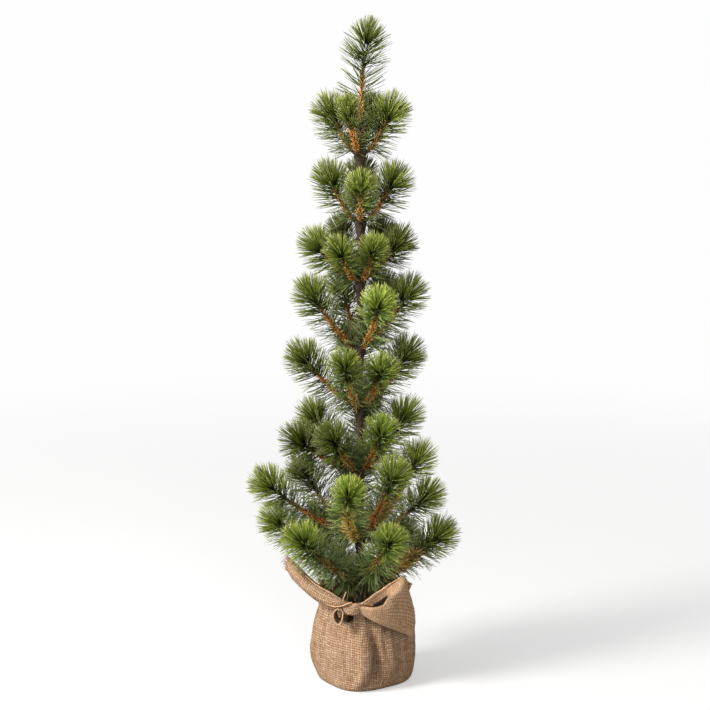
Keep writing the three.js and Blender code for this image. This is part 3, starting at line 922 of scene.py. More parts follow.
BURLAP = burlap_material()


def weave(u, v, rng):
    """Height of a plain weave at yarn coordinates, up to about 1.2."""
    iu, iv = np.round(u), np.round(v)
    x, y = 2 * (u - iu), 2 * (v - iv)
    warp_size, weft_size = rng.uniform(0.74, 1.2, 4096), rng.uniform(0.74, 1.2, 4096)
    warp = (1 - 0.85 * x * x) * (1 - 0.4 * y * y) * warp_size[iu.astype(int) % 4096]
    weft = (1 - 0.85 * y * y) * (1 - 0.4 * x * x) * weft_size[iv.astype(int) % 4096]
    return np.where((iu + iv) % 2 == 0, warp, weft)


def yarn_grid(rows, cols, u0=0, v0=0):
    return np.meshgrid(u0 + np.arange(cols) / STEP, v0 + np.arange(rows) / STEP)


def catmull(control, n):
    """Catmull-Rom curve through rows of control points, resampled to n rows."""
    c = np.concatenate([2 * control[:1] - control[1:2], control,
                        2 * control[-1:] - control[-2:-1]])
    spans = len(control) - 1
    t = np.linspace(0, spans, n)
    i = np.minimum(t.astype(int), spans - 1)
    f = (t - i).reshape((-1,) + (1,) * (control.ndim - 1))
    p0, p1, p2, p3 = c[i], c[i + 1], c[i + 2], c[i + 3]
    return 0.5 * ((2 * p1) + (p2 - p0) * f + (2 * p0 - 5 * p1 + 4 * p2 - p3) * f ** 2
                  + (3 * p1 - p0 - 3 * p2 + p3) * f ** 3)


def normals_of(P, closed):
    du = (np.roll(P, -1, 1) - np.roll(P, 1, 1)) if closed else np.gradient(P, axis=1)
    return unit(np.cross(du, np.gradient(P, axis=0)))


def sheet(P, thick, rng, u0=0.0, relief=0.5, shade=0.5):
    """A woven sheet with two faces and closed edges over the fine grid P."""
    rows, cols = P.shape[:2]
    U, V = yarn_grid(rows, cols, u0)
    N = normals_of(P, False)
    front = P + N * (thick / 2 + weave(U, V, rng) * relief)[..., None]
    back = P - N * (thick / 2 + weave(U + 1, V, rng) * relief)[..., None]
    n = rows * cols
    faces = grid_faces(rows, cols, False) + grid_faces(rows, cols, False, flip=True, offset=n)
    index = np.arange(n).reshape(rows, cols)
    rim = [*index[0], *index[1:, -1], *index[-1, -2::-1], *index[-2:0:-1, 0]]
    rim = [int(i) for i in rim]
    faces += [(a + n, b + n, b, a) for a, b in zip(rim, rim[1:] + rim[:1])]
    tint = np.stack([U, V, np.broadcast_to(shade, (rows, cols))], -1).reshape(-1, 3)
    return (np.concatenate([front.reshape(-1, 3), back.reshape(-1, 3)]), faces,
            np.concatenate([tint, tint + np.array([1.0, 0, 0])]))


def patch_grid(control, rng, wrinkle):
    """Control grid to a fine grid with whole yarns along both sides."""
    size_u = np.mean(np.linalg.norm(np.diff(control, axis=1), axis=2).sum(1))
    size_v = np.mean(np.linalg.norm(np.diff(control, axis=0), axis=2).sum(0))
    nu = max(int(round(size_u / PITCH_U)), 3) * STEP + 1
    nv = max(int(round(size_v / PITCH_V)), 3) * STEP + 1
    P = catmull(control, nv)
    P = np.swapaxes(catmull(np.swapaxes(P, 0, 1), nu), 0, 1)
    w = wrinkle * value_noise(rng, (nv, nu), (max(nv // 14, 2), max(nu // 14, 2)), False)
    return P + normals_of(P, False) * w[..., None]


def fray(points, outward, rng, count, length, pale=0.72, width=0.62):
    """Loose yarn ends along an edge."""
    t = np.sort(rng.uniform(0, len(points) - 1, count))
    i = np.minimum(t.astype(int), len(points) - 2)
    f = (t - i)[:, None]
    base = points[i] * (1 - f) + points[i + 1] * f
    out = np.broadcast_to(outward, points.shape)
    d = unit(out[i] * (1 - f) + out[i + 1] * f + rng.normal(0, 0.3, base.shape))
    curl = unit(rng.normal(0, 1, base.shape) + np.array([0, 0, -0.5]))
    buried = 1.2
    verts, faces, along, per = spindles(
        base - d * buried, d, rng.uniform(*length, count) + buried,
        np.full(count, width) * rng.uniform(0.7, 1.3, count), np.full(count, width),
        curl, rng.uniform(0.0, 0.45, count), [(0, 1), (0.35, 0.9), (0.75, 0.7)], 4, rng)
    shade = np.repeat(rng.uniform(pale - 0.2, pale + 0.2, count), per)
    u = np.repeat(rng.integers(0, 400, count).astype(float), per)
    return verts, faces, np.stack([u, along * 3, shade], 1)


def yarn_tube(control, radius, rng):
    """A two-ply yarn through the control points."""
    sides = 8
    points = catmull(control, len(control) * 7)
    points = points + rng.normal(0, 0.06, points.shape)
    index = np.arange(len(points))
    swell = np.full(len(points), radius) * (1 + 0.14 * np.sin(index * 1.7))
    radii = swell[:, None] * (1 + 0.16 * np.cos(2 * ring_angles(sides)))
    verts, faces = tube(points, radii, sides, twist=0.5)
    v = np.repeat(index * 0.3, sides)
    return verts, faces, np.stack([np.full_like(v, 40.0), v, np.full_like(v, 0.95)], 1)


# ------------------------------------------------------------------ burlap sack
# outline from underfoot up to the open rim: radius, height
SACK_PROFILE = np.array([
    [49.0, 0.35], [54, 1.2], [58.5, 5], [62.5, 12.5], [65.3, 25], [67.3, 42], [67.5, 60],
    [65, 76], [60.5, 92], [56, 104], [54, 112], [56, 121], [59.5, 131]])
SACK_YARNS = 158  # upright yarns round the sack
SACK_COLS = SACK_YARNS * STEP
FRONT_CORNER = math.radians(2.0)
SHIFT = 5.0  # how far the sack stands to the right of the trunk
# hollow under the knot, also painted dark as shade, and the short crease to its left
HOLLOW = np.array([-17, -60, 98.9])
CREASE = np.array([-36.3, -62, 87])
# Folds. Azimuths are in degrees from the front, growing towards +X.
# depth, azimuth from the leaning front valley, width, lower end, upper end, softness of ends
VALLEY_FOLDS = [(3.6, -14, 8, 2, 96, 22), (-12.0, 0, 6.4, 3, 100, 22), (3.4, 19, 9, 8, 90, 26)]
# the same, with a fixed azimuth
FOLDS = [
    (-2.2, 58, 8, 14, 96, 28), (-2.2, -33, 6, 60, 106, 20), (-1.2, -16, 5, 58, 98, 16),
    (-1.6, -58, 8, 30, 100, 30), (-2.2, 104, 7, 16, 96, 30), (-2.6, 162, 6, 20, 98, 30),
    (-2.2, -150, 8, 10, 96, 30), (-2.2, -106, 7, 34, 98, 28), (1.4, 134, 12, 10, 90, 30)]
# dents at the foot: depth, azimuth, width, upper end, softness
FOOT_DENTS = [(-7.0, -88, 38, 40, 34), (-1.5, -40, 24, 44, 40)]
# rim: bumps (height, azimuth, width) and ripples (height, waves round the rim, phase)
RIM_BUMPS = [(-9.0, 0, 42), (-6.5, 25, 15), (5.0, 75, 28)]
RIM_RIPPLES = [(1.6, 3, 0.4), (1.1, 7, 1.9), (0.6, 17, 0)]


def front_azimuths(cols):
    """Azimuths round the sack in radians, 0 at the front and growing towards +X."""
    return (ring_angles(cols) + math.pi) % (2 * math.pi) - math.pi


def rim_height(phi):
    """How far the open rim stands above its outline."""
    height = 0
    for size, azimuth, width in RIM_BUMPS:
        height = height + size * bell(np.degrees(phi), azimuth, width)
    for size, waves, phase in RIM_RIPPLES:
        height = height + size * np.sin(waves * phi + phase)
    return height


def sack_point(phi, r, z, crease=1.0):
    """The sack's form: a rounded square, folds at the front, gathers at the neck."""
    deg = np.degrees(phi)
    low = 1 - smoothstep(z / 45)
    valley = 15.5 - 8.5 * low - 8.0 * smoothstep((z - 58) / 36)
    square = 1 + 0.058 * np.cos(4 * (phi - FRONT_CORNER + math.radians(9) * low))
    neck = smoothstep((z - 74) / 34)
    flare = smoothstep((z - 113) / 16)
    folds = [(size, valley + offset, *rest) for size, offset, *rest in VALLEY_FOLDS] + FOLDS
    d = 0
    for size, azimuth, width, bottom, top, soft in folds:
        reach = smoothstep((z - bottom) / soft) * smoothstep((top - z) / soft)
        d = d + size * bell(deg, azimuth, width) * reach
    for size, azimuth, width, top, soft in FOOT_DENTS:
        d = d + size * bell(deg, azimuth, width) * smoothstep((top - z) / soft)
    gathers = (np.sin(17 * phi + 0.9 + 0.6 * np.sin(3 * phi))
               + 0.6 * np.sin(29 * phi + 2.1 + 0.9 * np.sin(2 * phi))
               + 0.4 * np.sin(11 * phi + 4.0))
    d = d + neck * (0.95 + 0.8 * flare) * gathers * crease
    rr = r * square + d
    return np.stack([rr * np.sin(phi) + SHIFT * smoothstep((z + 12) / 46), -rr * np.cos(phi),
                     z - 0.03 * rr * np.cos(phi) * smoothstep((z - 25) / 75)], -1)


def sack_grid(cols, heights, radii):
    phi = front_azimuths(cols)
    z = heights[:, None] + rim_height(phi) * smoothstep((heights[:, None] - 108) / 24)
    return sack_point(phi + 0 * z, radii[:, None] + 0 * phi, z)


SIM_SCALE = MM * 10  # the cloth is simulated at ten times its size
SIM_FRAMES = 26


def sim_object(name, P):
    mesh = bpy.data.meshes.new(name)
    mesh.from_pydata((P.reshape(-1, 3) * MM * 10).tolist(), [], grid_faces(*P.shape[:2], True))
    mesh.update()
    obj = bpy.data.objects.new(name, mesh)
    scene.collection.objects.link(obj)
    return obj


def simulate_sack(P):
    """Cloth pass on a coarse sack: cut a little larger than its form, held at the neck and
    underfoot, and draped over a slightly smaller core. Returns the move of each point."""
    cloth = sim_object("sack_sim", P)
    pin = cloth.vertex_groups.new(name="pin")
    z = P[..., 2]
    hold = np.clip(smoothstep((z - 100) / 10) + smoothstep((3.0 - z) / 3.0), 0, 1).reshape(-1)
    for i, weight in enumerate(hold):
        if weight > 0.01:
            pin.add([i], float(weight), "REPLACE")
    inside = P[:, ::2].copy()
    centre = np.array([SHIFT, 0])
    inside[..., :2] = (inside[..., :2] - centre) * 0.955 + centre
    core = sim_object("sack_core", inside)
    core.modifiers.new("Collision", "COLLISION")
    core.collision.thickness_outer = 0.006
    modifier = cloth.modifiers.new("Cloth", "CLOTH")
    settings = dict(
        quality=6, mass=0.5, tension_stiffness=22, compression_stiffness=22, shear_stiffness=10,
        bending_stiffness=0.7, tension_damping=6, compression_damping=6,
        vertex_group_mass="pin", use_pressure=False,
        shrink_min=-0.095,  # negative, so the cloth grows
    )
    for key, value in settings.items():
        setattr(modifier.settings, key, value)
    modifier.collision_settings.distance_min = 0.006
    modifier.collision_settings.use_self_collision = False
    modifier.point_cache.frame_start = 1
    modifier.point_cache.frame_end = SIM_FRAMES
    start = np.array([vertex.co for vertex in cloth.data.vertices])
    for frame in range(1, SIM_FRAMES + 1):
        scene.frame_set(frame)
    draped = cloth.evaluated_get(bpy.context.evaluated_depsgraph_get()).data
    end = np.empty(len(draped.vertices) * 3)
    draped.vertices.foreach_get("co", end)
    move = (end.reshape(-1, 3) - start) / SIM_SCALE
    bpy.data.objects.remove(cloth)
    bpy.data.objects.remove(core)
    scene.frame_set(1)
    size = np.linalg.norm(move, axis=1, keepdims=True)
    move = move * np.minimum(1.0, 6.0 / np.maximum(size, 1e-6))  # no more than 6 mm
    return move.reshape(P.shape)


def soften(move):
    """Blurs the moves, so that they read as folds and not as mesh noise."""
    for _ in range(2):
        below = np.concatenate([move[:1], move[:-1]])
        above = np.concatenate([move[1:], move[-1:]])
        around = np.roll(move, 1, 1) + np.roll(move, -1, 1)
        move = 0.5 * move + 0.125 * around + 0.125 * (below + above)
    return move


def resample(coarse, cols, source, target):
    """Closed coarse grid to finer columns, and from rows at source to rows at target."""
    n = coarse.shape[1]
    c = np.arange(cols) * n / cols
    c0 = np.floor(c).astype(int) % n
    f = (c - np.floor(c))[None, :, None]
    f = f * f * (3 - 2 * f) * 0.35 + f * 0.65
    wide = coarse[:, c0] * (1 - f) + coarse[:, (c0 + 1) % n] * f
    i = np.clip(np.searchsorted(source, target) - 1, 0, len(source) - 2)
    f = np.clip((target - source[i]) / (source[i + 1] - source[i]), 0, 1)[:, None, None]
    return wide[i] * (1 - f) + wide[i + 1] * f


def sack_surface(rng):
    """The cloth's middle surface, its outline heights and the strength of the painted shade in the hollow."""
    outline = catmull(SACK_PROFILE, 400)
    arc = arc_length(outline)

    def grid(cols, at):
        heights = np.interp(at, arc, outline[:, 1])
        return sack_grid(cols, heights, np.interp(at, arc, outline[:, 0])), heights

    rows = int(round(arc[-1] / PITCH_V)) * STEP + 1
    at = np.linspace(0, arc[-1], rows)
    P, heights = grid(SACK_COLS, at)
    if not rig.quick():
        coarse_at = np.linspace(0, arc[-1], 46)
        coarse, _ = grid(150, coarse_at)
        P = P + resample(soften(simulate_sack(coarse)), SACK_COLS, coarse_at, at)
    N = normals_of(P, True)
    # the hollow is a slanted oval, on the front only
    q = P - HOLLOW
    d = np.hypot((q[..., 0] * 0.69 + q[..., 2] * 0.72) / 9.5,
                 (q[..., 0] * 0.72 - q[..., 2] * 0.69) / 5.2)
    d = d + 3 * smoothstep((P[..., 1] + 40) / 10)
    P = P - N * (7.0 * np.exp(-((d / 1.2) ** 3)))[..., None]
    # strength of the painted shade in the hollow
    hollow_shade_mask = np.exp(-(d ** 3) * 0.8)
    # keep the cloth outside the cup
    away = np.hypot(P[..., 0], P[..., 1])
    least = 50.2 * smoothstep((101 - P[..., 2]) / 3.5) * smoothstep((P[..., 2] - 4) / 6)
    P[..., :2] *= (np.maximum(away, least) / np.maximum(away, 1e-6))[..., None]
    d = np.linalg.norm((P - CREASE) / np.array([2.2, 14, 7.5]), axis=2)
    P = P - N * (2.2 * np.exp(-(d ** 2)))[..., None]
    lumps = (0.7 * value_noise(rng, P.shape[:2], (7, 18))
             + 0.35 * value_noise(rng, P.shape[:2], (16, 44)))
    P = P + N * (smoothstep((P[..., 2] - 2) / 14) * lumps)[..., None]
    P[..., 2] = np.maximum(P[..., 2], 0.35)
    return P, heights, hollow_shade_mask


def build_sack():
    rng = np.random.default_rng(11)
    P, heights, hollow_shade_mask = sack_surface(rng)
    rows, cols = P.shape[:2]
    U, V = yarn_grid(rows, cols)
    N = normals_of(P, True)
    phi = front_azimuths(cols)[0]

    def ring(r, z):
        return np.stack([r * np.sin(phi) + 0.6, -r * np.cos(phi), np.full(cols, z)], -1)

    under = [ring(r, 0.35) for r in (2.0, 14, 26, 38, 47)]
    relief = 0.68 * smoothstep((P[..., 2] - 0.8) / 3.0)
    outer = P + N * (weave(U, V, rng) * relief)[..., None]
    outer[..., 2] = np.maximum(outer[..., 2], 0.25)
    # inside: woven near the rim, plain below
    lip = 8 * STEP
    lip_depth = 1.5 + weave(U[:lip] + 1, V[::-1][:lip], rng) * 0.45
    inner = P[::-1][:lip] - N[::-1][:lip] * lip_depth[..., None]
    lining_heights = [104.0, 101, 98.5, 96.5, 94.5, 92.5, 90.5, 88.5, 86, 83, 78, 72, 58, 40, 22,
                      9, 4.2]
    lining_rows = [int(np.argmin(np.abs(heights - z))) for z in lining_heights]
    lining = P[lining_rows] - N[lining_rows] * 2.3
    lining[..., 2] = np.maximum(lining[..., 2], 3.4)
    floor = [ring(r, z) for r, z in ((49.5, 1.8), (38, 1.7), (20, 1.7), (2.0, 1.7))]
    verts = np.concatenate([np.array(under), outer, inner, lining, np.array(floor)])

    # painted shade: the hollow is darkened through the cloth; the front valley, whose relief
    # alone shades too little, is darkened outside only
    hollow_painted_shade = 0.47 * np.clip(hollow_shade_mask * 1.2, 0, 1)
    low_front = (smoothstep((P[..., 2] - 6) / 16) * smoothstep((84 - P[..., 2]) / 18)
                 * smoothstep(-P[..., 1] / 10))
    valley = 0.14 * bell(P[..., 0], 22.0, 6.5) * low_front
    shade = np.concatenate([
        np.full((len(under), cols), 0.5), 0.5 - valley - hollow_painted_shade * (1 - valley),
        0.5 - hollow_painted_shade[::-1][:lip], 0.5 - hollow_painted_shade[lining_rows], np.full((len(floor), cols), 0.5)])
    hem = len(under) + rows - 2
    shade[hem:hem + 4] = 0.72
    plain_v = np.linspace(V[-lip, 0], 0, len(lining) + len(floor))
    v = np.concatenate([np.zeros(len(under)), V[:, 0], V[::-1, 0][:lip], plain_v])
    tint = np.stack(np.broadcast_arrays(U[0], v[:, None], shade), -1)
    geometry = verts.reshape(-1, 3), capped_faces(len(verts), cols), tint.reshape(-1, 3)
    add_piece("burlap_sack_cloth", geometry, BURLAP, "base", "burlap", "burlap_sack")
    loose = fray(outer[-1], unit(outer[-1] - outer[-4]), rng, 210, length=(1.0, 4.5))
    add_piece("sack_rim_fray", loose, BURLAP, "base", "burlap")


# ------------------------------------------------------------------ knotted tie
# Control points x, y, z. Tails: rows run across the tail, points along it from the knot out.
LEFT_TAIL = np.array([
    [[-10.8, -68, 120.5], [-21.4, -72, 120.2], [-33.4, -73, 120.5], [-46.8, -69, 122.8],
     [-59, -62, 127.1], [-71.2, -54, 134.5], [-82.2, -45, 143.2], [-90.6, -36, 149.8],
     [-96.9, -27, 156.4]],
    [[-9.4, -72, 123], [-21.4, -77, 125.5], [-33.4, -78, 126.3], [-46.7, -75, 129.3],
     [-58.9, -68, 132.9], [-69.7, -60, 139.6], [-80.7, -51, 148.2], [-91.1, -41, 155.3],
     [-98.8, -31, 161.6]],
    [[-9.4, -73, 124], [-20.1, -77, 127.7], [-32, -77, 130.4], [-44.1, -73, 134.9],
     [-56.2, -66, 139.9], [-67.1, -58, 146], [-78, -50, 154.9], [-89.6, -42, 162.4],
     [-99.4, -33, 168.4]],
    [[-9.4, -69, 122.8], [-18.8, -70, 126.6], [-29.5, -69, 131.2], [-40.2, -64, 137.3],
     [-52.4, -57, 141.6], [-63.2, -50, 147.3], [-74.8, -43, 156.5], [-87.1, -37, 166.7],
     [-98.7, -31, 173.5]],
    [[-9.4, -62, 118.8], [-17.5, -60, 121], [-25.5, -57, 125], [-36.3, -53, 131.5],
     [-47.1, -48, 137], [-58, -42, 143], [-71, -36, 153.9], [-83.9, -31, 165.8],
     [-96.1, -28, 176.2]],
    [[-8.1, -58, 113.5], [-14.8, -55, 114.1], [-22.9, -52, 117.4], [-32.3, -48, 123.2],
     [-43.2, -44, 129], [-54, -39, 134.6], [-66.3, -34, 146.5], [-79.9, -29, 157.7],
     [-92.9, -25, 169.8]],
])
RIGHT_TAIL = np.array([
    [[-9.4, -70, 116.9], [1.3, -76, 113.1], [13.8, -80, 106], [27.6, -79, 98.9],
     [40.3, -73, 91.6], [51.9, -65, 85.1], [62.1, -55, 78], [69.5, -46, 71.1]],
    [[-8.1, -73, 119.2], [2.6, -79, 116.7], [15.1, -84, 112], [28.9, -83, 105.5],
     [41.5, -77, 99.7], [53.1, -68, 94.3], [63.4, -57, 86.9], [72.2, -46, 78.1]],
    [[-6.7, -75, 121.1], [3.9, -82, 120.3], [16.3, -88, 117.2], [30.2, -87, 113.5],
     [42.8, -81, 110.4], [54.3, -71, 106.9], [64.6, -59, 101.4], [73.5, -46, 93.4]],
    [[-5.4, -75, 121.8], [5.2, -83, 122], [17.6, -90, 121.9], [30.1, -89, 122.3],
     [40.8, -84, 125.7], [54.2, -73, 122.6], [64.5, -60, 116.9], [72, -48, 109.3]],
    [[-4.7, -72, 121.6], [6.6, -80, 121.8], [19, -87, 123.1], [30.8, -87, 126.5],
     [38.2, -82, 134.7], [51.5, -74, 137.3], [61.7, -63, 135.6], [67.8, -51, 126.8]],
    [[-4.1, -66, 118.6], [8, -68, 112.2], [21.9, -70, 111.4], [34.4, -70, 116.9],
     [42.6, -74, 130.4], [51.6, -70, 143.7], [60.3, -62, 147.7], [65, -52, 138.1]],
    [[-3.4, -62, 118.8], [8, -60, 115.5], [20.6, -59, 118], [31.9, -59, 124.9],
     [41.7, -65, 136.2], [50.4, -62, 147.7], [59, -59, 153.8], [63.7, -51, 144.8]],
    [[-2.7, -61, 121.3], [9.4, -59, 126.2], [22, -57, 134], [33.2, -56, 142],
     [41.8, -55, 147.2], [50.6, -54, 153.2], [57.8, -53, 157], [63.7, -50, 150]],
])
# the knot's two wraps: radius, centre line
KNOT_WRAPS = [
    (4.2, np.array([[-25.5, -66, 121.3], [-20.1, -74, 118.1], [-13.4, -78, 115.8],
                    [-6.7, -78, 115.8], [-1.4, -75, 118.3], [2.6, -67, 120.2]])),
    (3.8, np.array([[-16.1, -62, 110.5], [-12.7, -75, 118.3], [-7.4, -79, 122.2],
                    [-1.4, -78, 121.2], [2.6, -73, 115], [4, -64, 108.3]])),
]
CURL_ROOT = np.array([-26.9, -63, 109.4])
CURL_MOUTH = np.array([-29, -80, 109.3])
CURL_WIDTH, CURL_HEIGHT = 6.3, 10.8  # half sizes
# threads on the left, upper left and right edges, and a loose one: radius, centre line
THREADS = [
    (0.85, np.array([[-49.4, -72, 127.1], [-42.7, -75, 124.1], [-33.4, -77.5, 122.3],
                     [-24, -79, 123.7], [-16.1, -80, 127.2], [-10.7, -78, 128]])),
    (0.7, np.array([[-72.7, -45.5, 155.2], [-63.2, -51.5, 148.5], [-52.3, -58.5, 142.8],
                    [-40.2, -65.5, 138.4], [-29.4, -70.5, 132.5], [-20.1, -71.5, 128.1]])),
    (0.8, np.array([[-0.1, -66, 121.3], [9.3, -63, 127.4], [18.7, -61, 134.4],
                    [28.1, -60, 140.3], [37.5, -58, 146.7], [46.9, -57, 151.9],
                    [54.9, -56, 156.5]])),
    (0.55, np.array([[-21.4, -76, 125.5], [-22.7, -79, 131.8], [-20.7, -77, 136.7],
                     [-18.7, -74, 141.4]])),
]


def left_tail(rng):
    P = patch_grid(LEFT_TAIL, rng, wrinkle=0.6)
    rows = P.shape[0]
    # the torn end: its last columns are drawn out or in by uneven amounts
    torn = np.interp(np.arange(rows), np.linspace(0, rows - 1, 15), rng.uniform(-2.6, 2.0, 15))
    pull = torn[:, None] * np.linspace(0, 1, 12) ** 1.6
    P[:, -12:] += unit(P[:, -1] - P[:, -4])[:, None] * pull[..., None]
    return join_parts([
        sheet(P, 1.4, rng),
        fray(P[:, -1], unit(P[:, -1] - P[:, -4]), rng, 90, length=(1.5, 9.0), pale=0.5),
        fray(P[int(rows * 0.6), -30:], np.array([-0.5, -0.2, 0.9]), rng, 70, length=(1, 6.0),
             pale=0.5),
        fray(P[-1, 12:], np.array([0, 0.2, -1.0]), rng, 30, length=(1, 3)),
    ])


def right_tail(rng):
    P = patch_grid(RIGHT_TAIL, rng, wrinkle=0.55)
    # painted shade: the pocket between the folds, near the knot, is painted dark, and the rest of
    # the tail a little pale as painted light; places are in control points
    row = np.linspace(0, 7, P.shape[0])[:, None]
    col = np.linspace(0, 7, P.shape[1])[None, :]
    pocket_painted_shade = (smoothstep((row - 4.5) / 0.5) * smoothstep((6.55 - row) / 0.6)
              * smoothstep((4.0 - col) / 0.9) * smoothstep((col - 0.7) / 0.8))
    shade = 0.6 - 0.585 * np.clip(pocket_painted_shade * 1.6, 0, 1)
    return join_parts([
        sheet(P, 1.4, rng, u0=60, relief=0.62, shade=shade),
        fray(P[:, -1], unit(P[:, -1] - P[:, -4]), rng, 52, length=(1.5, 6.0), pale=0.62),
        fray(P[0, 20:], unit(P[0, 20:] - P[3, 20:]), rng, 18, length=(1, 3.5)),
    ])


def knot_wrap(control, radius, rng, squash=0.72):
    """A wrap of gathered cloth: a fat flattened tube with lengthwise pleats, woven."""
    points = catmull(control, 46)
    count, sides = len(points), 42
    swell = radius * (0.72 + 0.28 * np.sin(np.linspace(0.3, math.pi - 0.3, count)))
    phase = rng.uniform(0, 6.28)
    angles = ring_angles(sides)
    pleats = (1 + 0.15 * np.cos(5 * angles + phase + 0.05 * np.arange(count)[:, None])
              + 0.08 * np.cos(9 * angles + 2 * phase))
    radii = swell[:, None] * (pleats * (squash + (1 - squash) * np.abs(np.sin(angles))))
    verts, faces = tube(points, radii, sides)
    U = np.tile(np.arange(sides) * 0.34, count)
    V = np.repeat(np.arange(count) * 0.36, sides)
    relief = weave(U, V, rng) * 0.5
    verts = verts + unit(verts - np.repeat(points, sides, axis=0)) * relief[:, None]
    return verts, faces, np.stack([U, V, np.full_like(U, 0.5)], 1)


def curled_corner(rng):
    """The rolled corner beside the knot: one turn and a little more, opening to the front."""
    axis = unit(CURL_MOUTH - CURL_ROOT)
    side = unit(np.cross(axis, np.array([0.12, 0, 1.0])))
    tall = np.cross(side, axis)
    angles = np.linspace(math.radians(70), math.radians(70 + 372), 52)
    uneven = (1 + 0.08 * np.sin(3 * angles + 1.0)) * np.linspace(0.92, 1.12, len(angles))
    rows = []
    for t in np.linspace(0, 1, 17):
        w = (0.62 + 0.38 * t) * uneven
        rows.append(CURL_ROOT + (CURL_MOUTH - CURL_ROOT) * t
                    + side * (np.cos(angles) * CURL_WIDTH * w)[:, None]
                    + tall * (np.sin(angles) * CURL_HEIGHT * w)[:, None]
                    + axis * (1.3 * np.sin(angles * 2 + 0.5) * t)[:, None])
    verts, faces, tint = sheet(np.array(rows), 1.0, rng, u0=120, relief=0.35)
    # painted shade on the inner face, darkest deep in the roll; pale at the mouth
    reach = np.dot(verts - CURL_ROOT, axis)
    across = verts - (CURL_ROOT + axis * reach[:, None])
    depth = reach / np.linalg.norm(CURL_MOUTH - CURL_ROOT)
    oval = np.stack([side / CURL_WIDTH, tall / CURL_HEIGHT], 1)
    from_axis = np.linalg.norm(across @ oval, axis=1) / (0.62 + 0.38 * depth)
    inside = from_axis < np.median(from_axis)
    tint[:, 2] = np.where(inside, 0.16 + 0.16 * np.clip(depth, 0, 1), 0.44)
    tint[:, 2] = np.where(depth > 0.93, 0.82, tint[:, 2])
    return verts, faces, tint


def neck_band(rng):
    """A closed woven band round the neck."""
    rows, cols = 13, SACK_COLS
    phi = front_azimuths(cols)
    t = np.linspace(0, 1, rows)[:, None]
    P = sack_point(phi + 0 * t, 56.9 + 1.6 * np.sin(math.pi * t) + 0 * phi,
                   106.0 + 11.5 * t + 0 * phi, crease=0.55)
    U, V = yarn_grid(rows, cols, u0=300, v0=80)
    N = normals_of(P, True)
    outside = P + N * (0.5 + weave(U, V, rng) * 0.5)[..., None]
    inside = (P - N * 1.2)[::-1]
    faces = grid_faces(2 * rows, cols, True)
    last = (2 * rows - 1) * cols
    for j in range(cols):
        j2 = (j + 1) % cols
        faces.append((last + j, last + j2, j2, j))
    tint = np.stack([U, V, 0 * U + 0.5], -1).reshape(-1, 3)
    return np.concatenate([outside, inside]).reshape(-1, 3), faces, np.concatenate([tint, tint])


def build_tie():
    rng = np.random.default_rng(23)

    def add(name, geometry):
        add_piece(name, geometry, BURLAP, "base", "burlap_tie", "burlap_tie")

    add("tie_left_tail", left_tail(rng))
    add("tie_right_tail", right_tail(rng))
    add("tie_knot", join_parts([knot_wrap(line, radius, rng) for radius, line in KNOT_WRAPS]))
    add("tie_curled_corner", curled_corner(rng))
    add("tie_neck_band", neck_band(rng))
    add("tie_hem_threads", join_parts([yarn_tube(line, radius, rng) for radius, line in THREADS]))


build_sack()
build_tie()


# ------------------------------------------------------------------ stage, light, camera (metres)
STAGE_HALF_WIDTH = 7.0
STAGE_FRONT, STAGE_BEND = -6.0, 2.2  # y of the front edge and of the start of the sweep
STAGE_RADIUS, STAGE_HEIGHT = 1.6, 6.0
STAGE_DROP = 0.0004  # keeps the floor just under the sack
LIGHT_AIM = (0, 0, 0.4)
CAMERA_TARGET = Vector((-0.00674368, 0, 0.449855))
CAMERA_DISTANCE = 2.5
CAMERA_ELEVATION = math.radians(8.0)
CAMERA_VIEW_ANGLE = 0.378458212  # horizontal, radians


def stage_material():
    """The floor is paler to the camera than to the light it bounces, and turns to plain white
    away from the object."""
    m = Surface("stage_white")
    mottle = m.noise(scale=3.0, detail=2, vector=m.coords())
    seen = m.node("ShaderNodeLightPath").outputs["Is Camera Ray"]
    pale = m.mix(m.remap(mottle, span=(0.3, 0.7)), (0.63, 0.63, 0.63, 1), (0.65, 0.65, 0.645, 1))
    distance = m.node("ShaderNodeVectorMath", operation="LENGTH")
    m.feed(distance.inputs[0], m.coords())
    far = m.remap(distance.outputs["Value"], span=(0.2, 2.6))
    to_camera = m.mix(far, pale, (0.0, 0.0, 0.0, 1))
    glow = m.math("ADD", 0.42, m.multiply(far, 0.57))
    return m.finish(Base_Color=m.mix(seen, (0.4, 0.4, 0.4, 1), to_camera), Roughness=0.9,
                    Specular_IOR_Level=0.0, Emission_Color=(1, 1, 1, 1),
                    Emission_Strength=m.multiply(seen, glow))


def build_floor():
    """A floor that sweeps up into a wall behind the object."""
    profile = [(STAGE_FRONT, 0.0), (STAGE_BEND, 0.0)]
    for k in range(1, 13):
        angle = math.pi / 2 * k / 12
        profile.append((STAGE_BEND + STAGE_RADIUS * math.sin(angle),
                        STAGE_RADIUS - STAGE_RADIUS * math.cos(angle)))
    profile.append((STAGE_BEND + STAGE_RADIUS, STAGE_HEIGHT))
    verts = [(x, y, z - STAGE_DROP) for y, z in profile
             for x in (-STAGE_HALF_WIDTH, STAGE_HALF_WIDTH)]
    faces = [(2 * k, 2 * k + 1, 2 * k + 3, 2 * k + 2) for k in range(len(profile) - 1)]
    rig.stage(make_object("stage_floor", np.array(verts) / MM, faces, stage_material()))


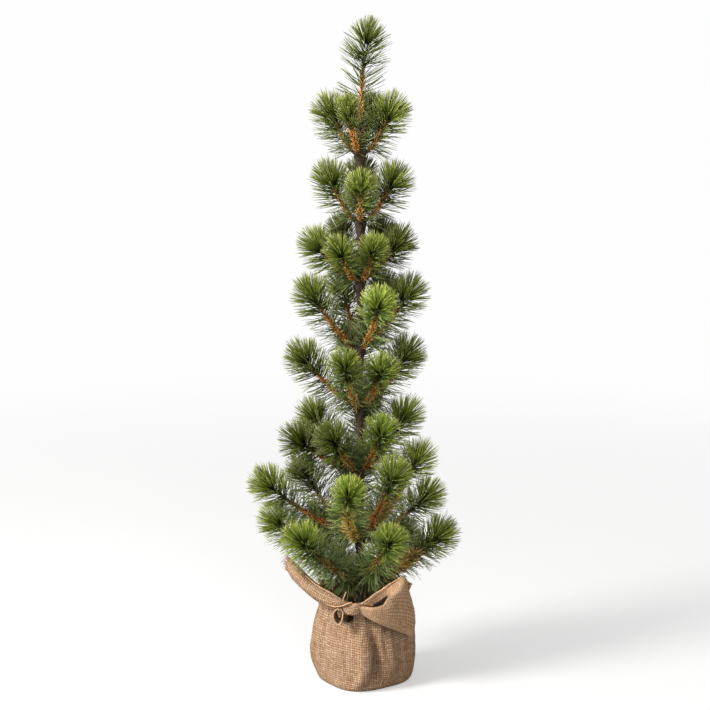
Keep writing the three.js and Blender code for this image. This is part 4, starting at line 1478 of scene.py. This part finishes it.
def aim(obj, location, target):
    obj.location = location
    obj.rotation_euler = (Vector(target) - Vector(location)).to_track_quat("-Z", "Y").to_euler()


def add_light(name, location, size, energy, color):
    light = bpy.data.lights.new(name, "AREA")
    light.shape = "DISK"
    light.size = size
    light.energy = energy
    light.color = color
    obj = bpy.data.objects.new(name, light)
    scene.collection.objects.link(obj)
    aim(obj, location, LIGHT_AIM)


def build_world():
    """Brighter on the left; the camera itself sees plain white."""
    world = bpy.data.worlds.new("studio")
    scene.world = world
    world.use_nodes = True
    nodes = Nodes(world.node_tree)
    background = world.node_tree.nodes["Background"]
    background.inputs[0].default_value = (1, 1, 1, 1)
    axes = nodes.node("ShaderNodeSeparateXYZ")
    nodes.feed(axes.inputs[0], nodes.coords("Generated"))
    side = nodes.remap(axes.outputs[0], span=(-0.7, 0.7), to=(0.6, 0.25))
    seen = nodes.node("ShaderNodeLightPath").outputs["Is Camera Ray"]
    nodes.feed(background.inputs[1], nodes.math("MAXIMUM", side, seen))


def build_camera():
    data = bpy.data.cameras.new("camera")
    data.sensor_fit = "HORIZONTAL"
    data.angle_x = CAMERA_VIEW_ANGLE
    data.clip_end = 50
    camera = bpy.data.objects.new("camera", data)
    scene.collection.objects.link(camera)
    offset = Vector((0, -CAMERA_DISTANCE * math.cos(CAMERA_ELEVATION),
                     CAMERA_DISTANCE * math.sin(CAMERA_ELEVATION)))
    aim(camera, CAMERA_TARGET + offset, CAMERA_TARGET)
    scene.camera = camera


build_floor()
add_light("key", location=(-2.35, -1.5, 2.0), size=1.2, energy=112, color=(1.0, 0.985, 0.965))
add_light("front", location=(0.4, -3.0, 1.7), size=1.4, energy=26, color=(1, 1, 1))
build_world()
scene.view_settings.view_transform = "Standard"
scene.view_settings.look = "None"
build_camera()

VISUAL_BOX = [list(map(float, corner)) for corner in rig.bounds()]
# guards against a missing or read-only work folder; the model doesn't need this file
try:
    with open("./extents.json", "w") as f:
        json.dump({"cad": CAD_BOX, "visual": VISUAL_BOX}, f)
except OSError:
    pass
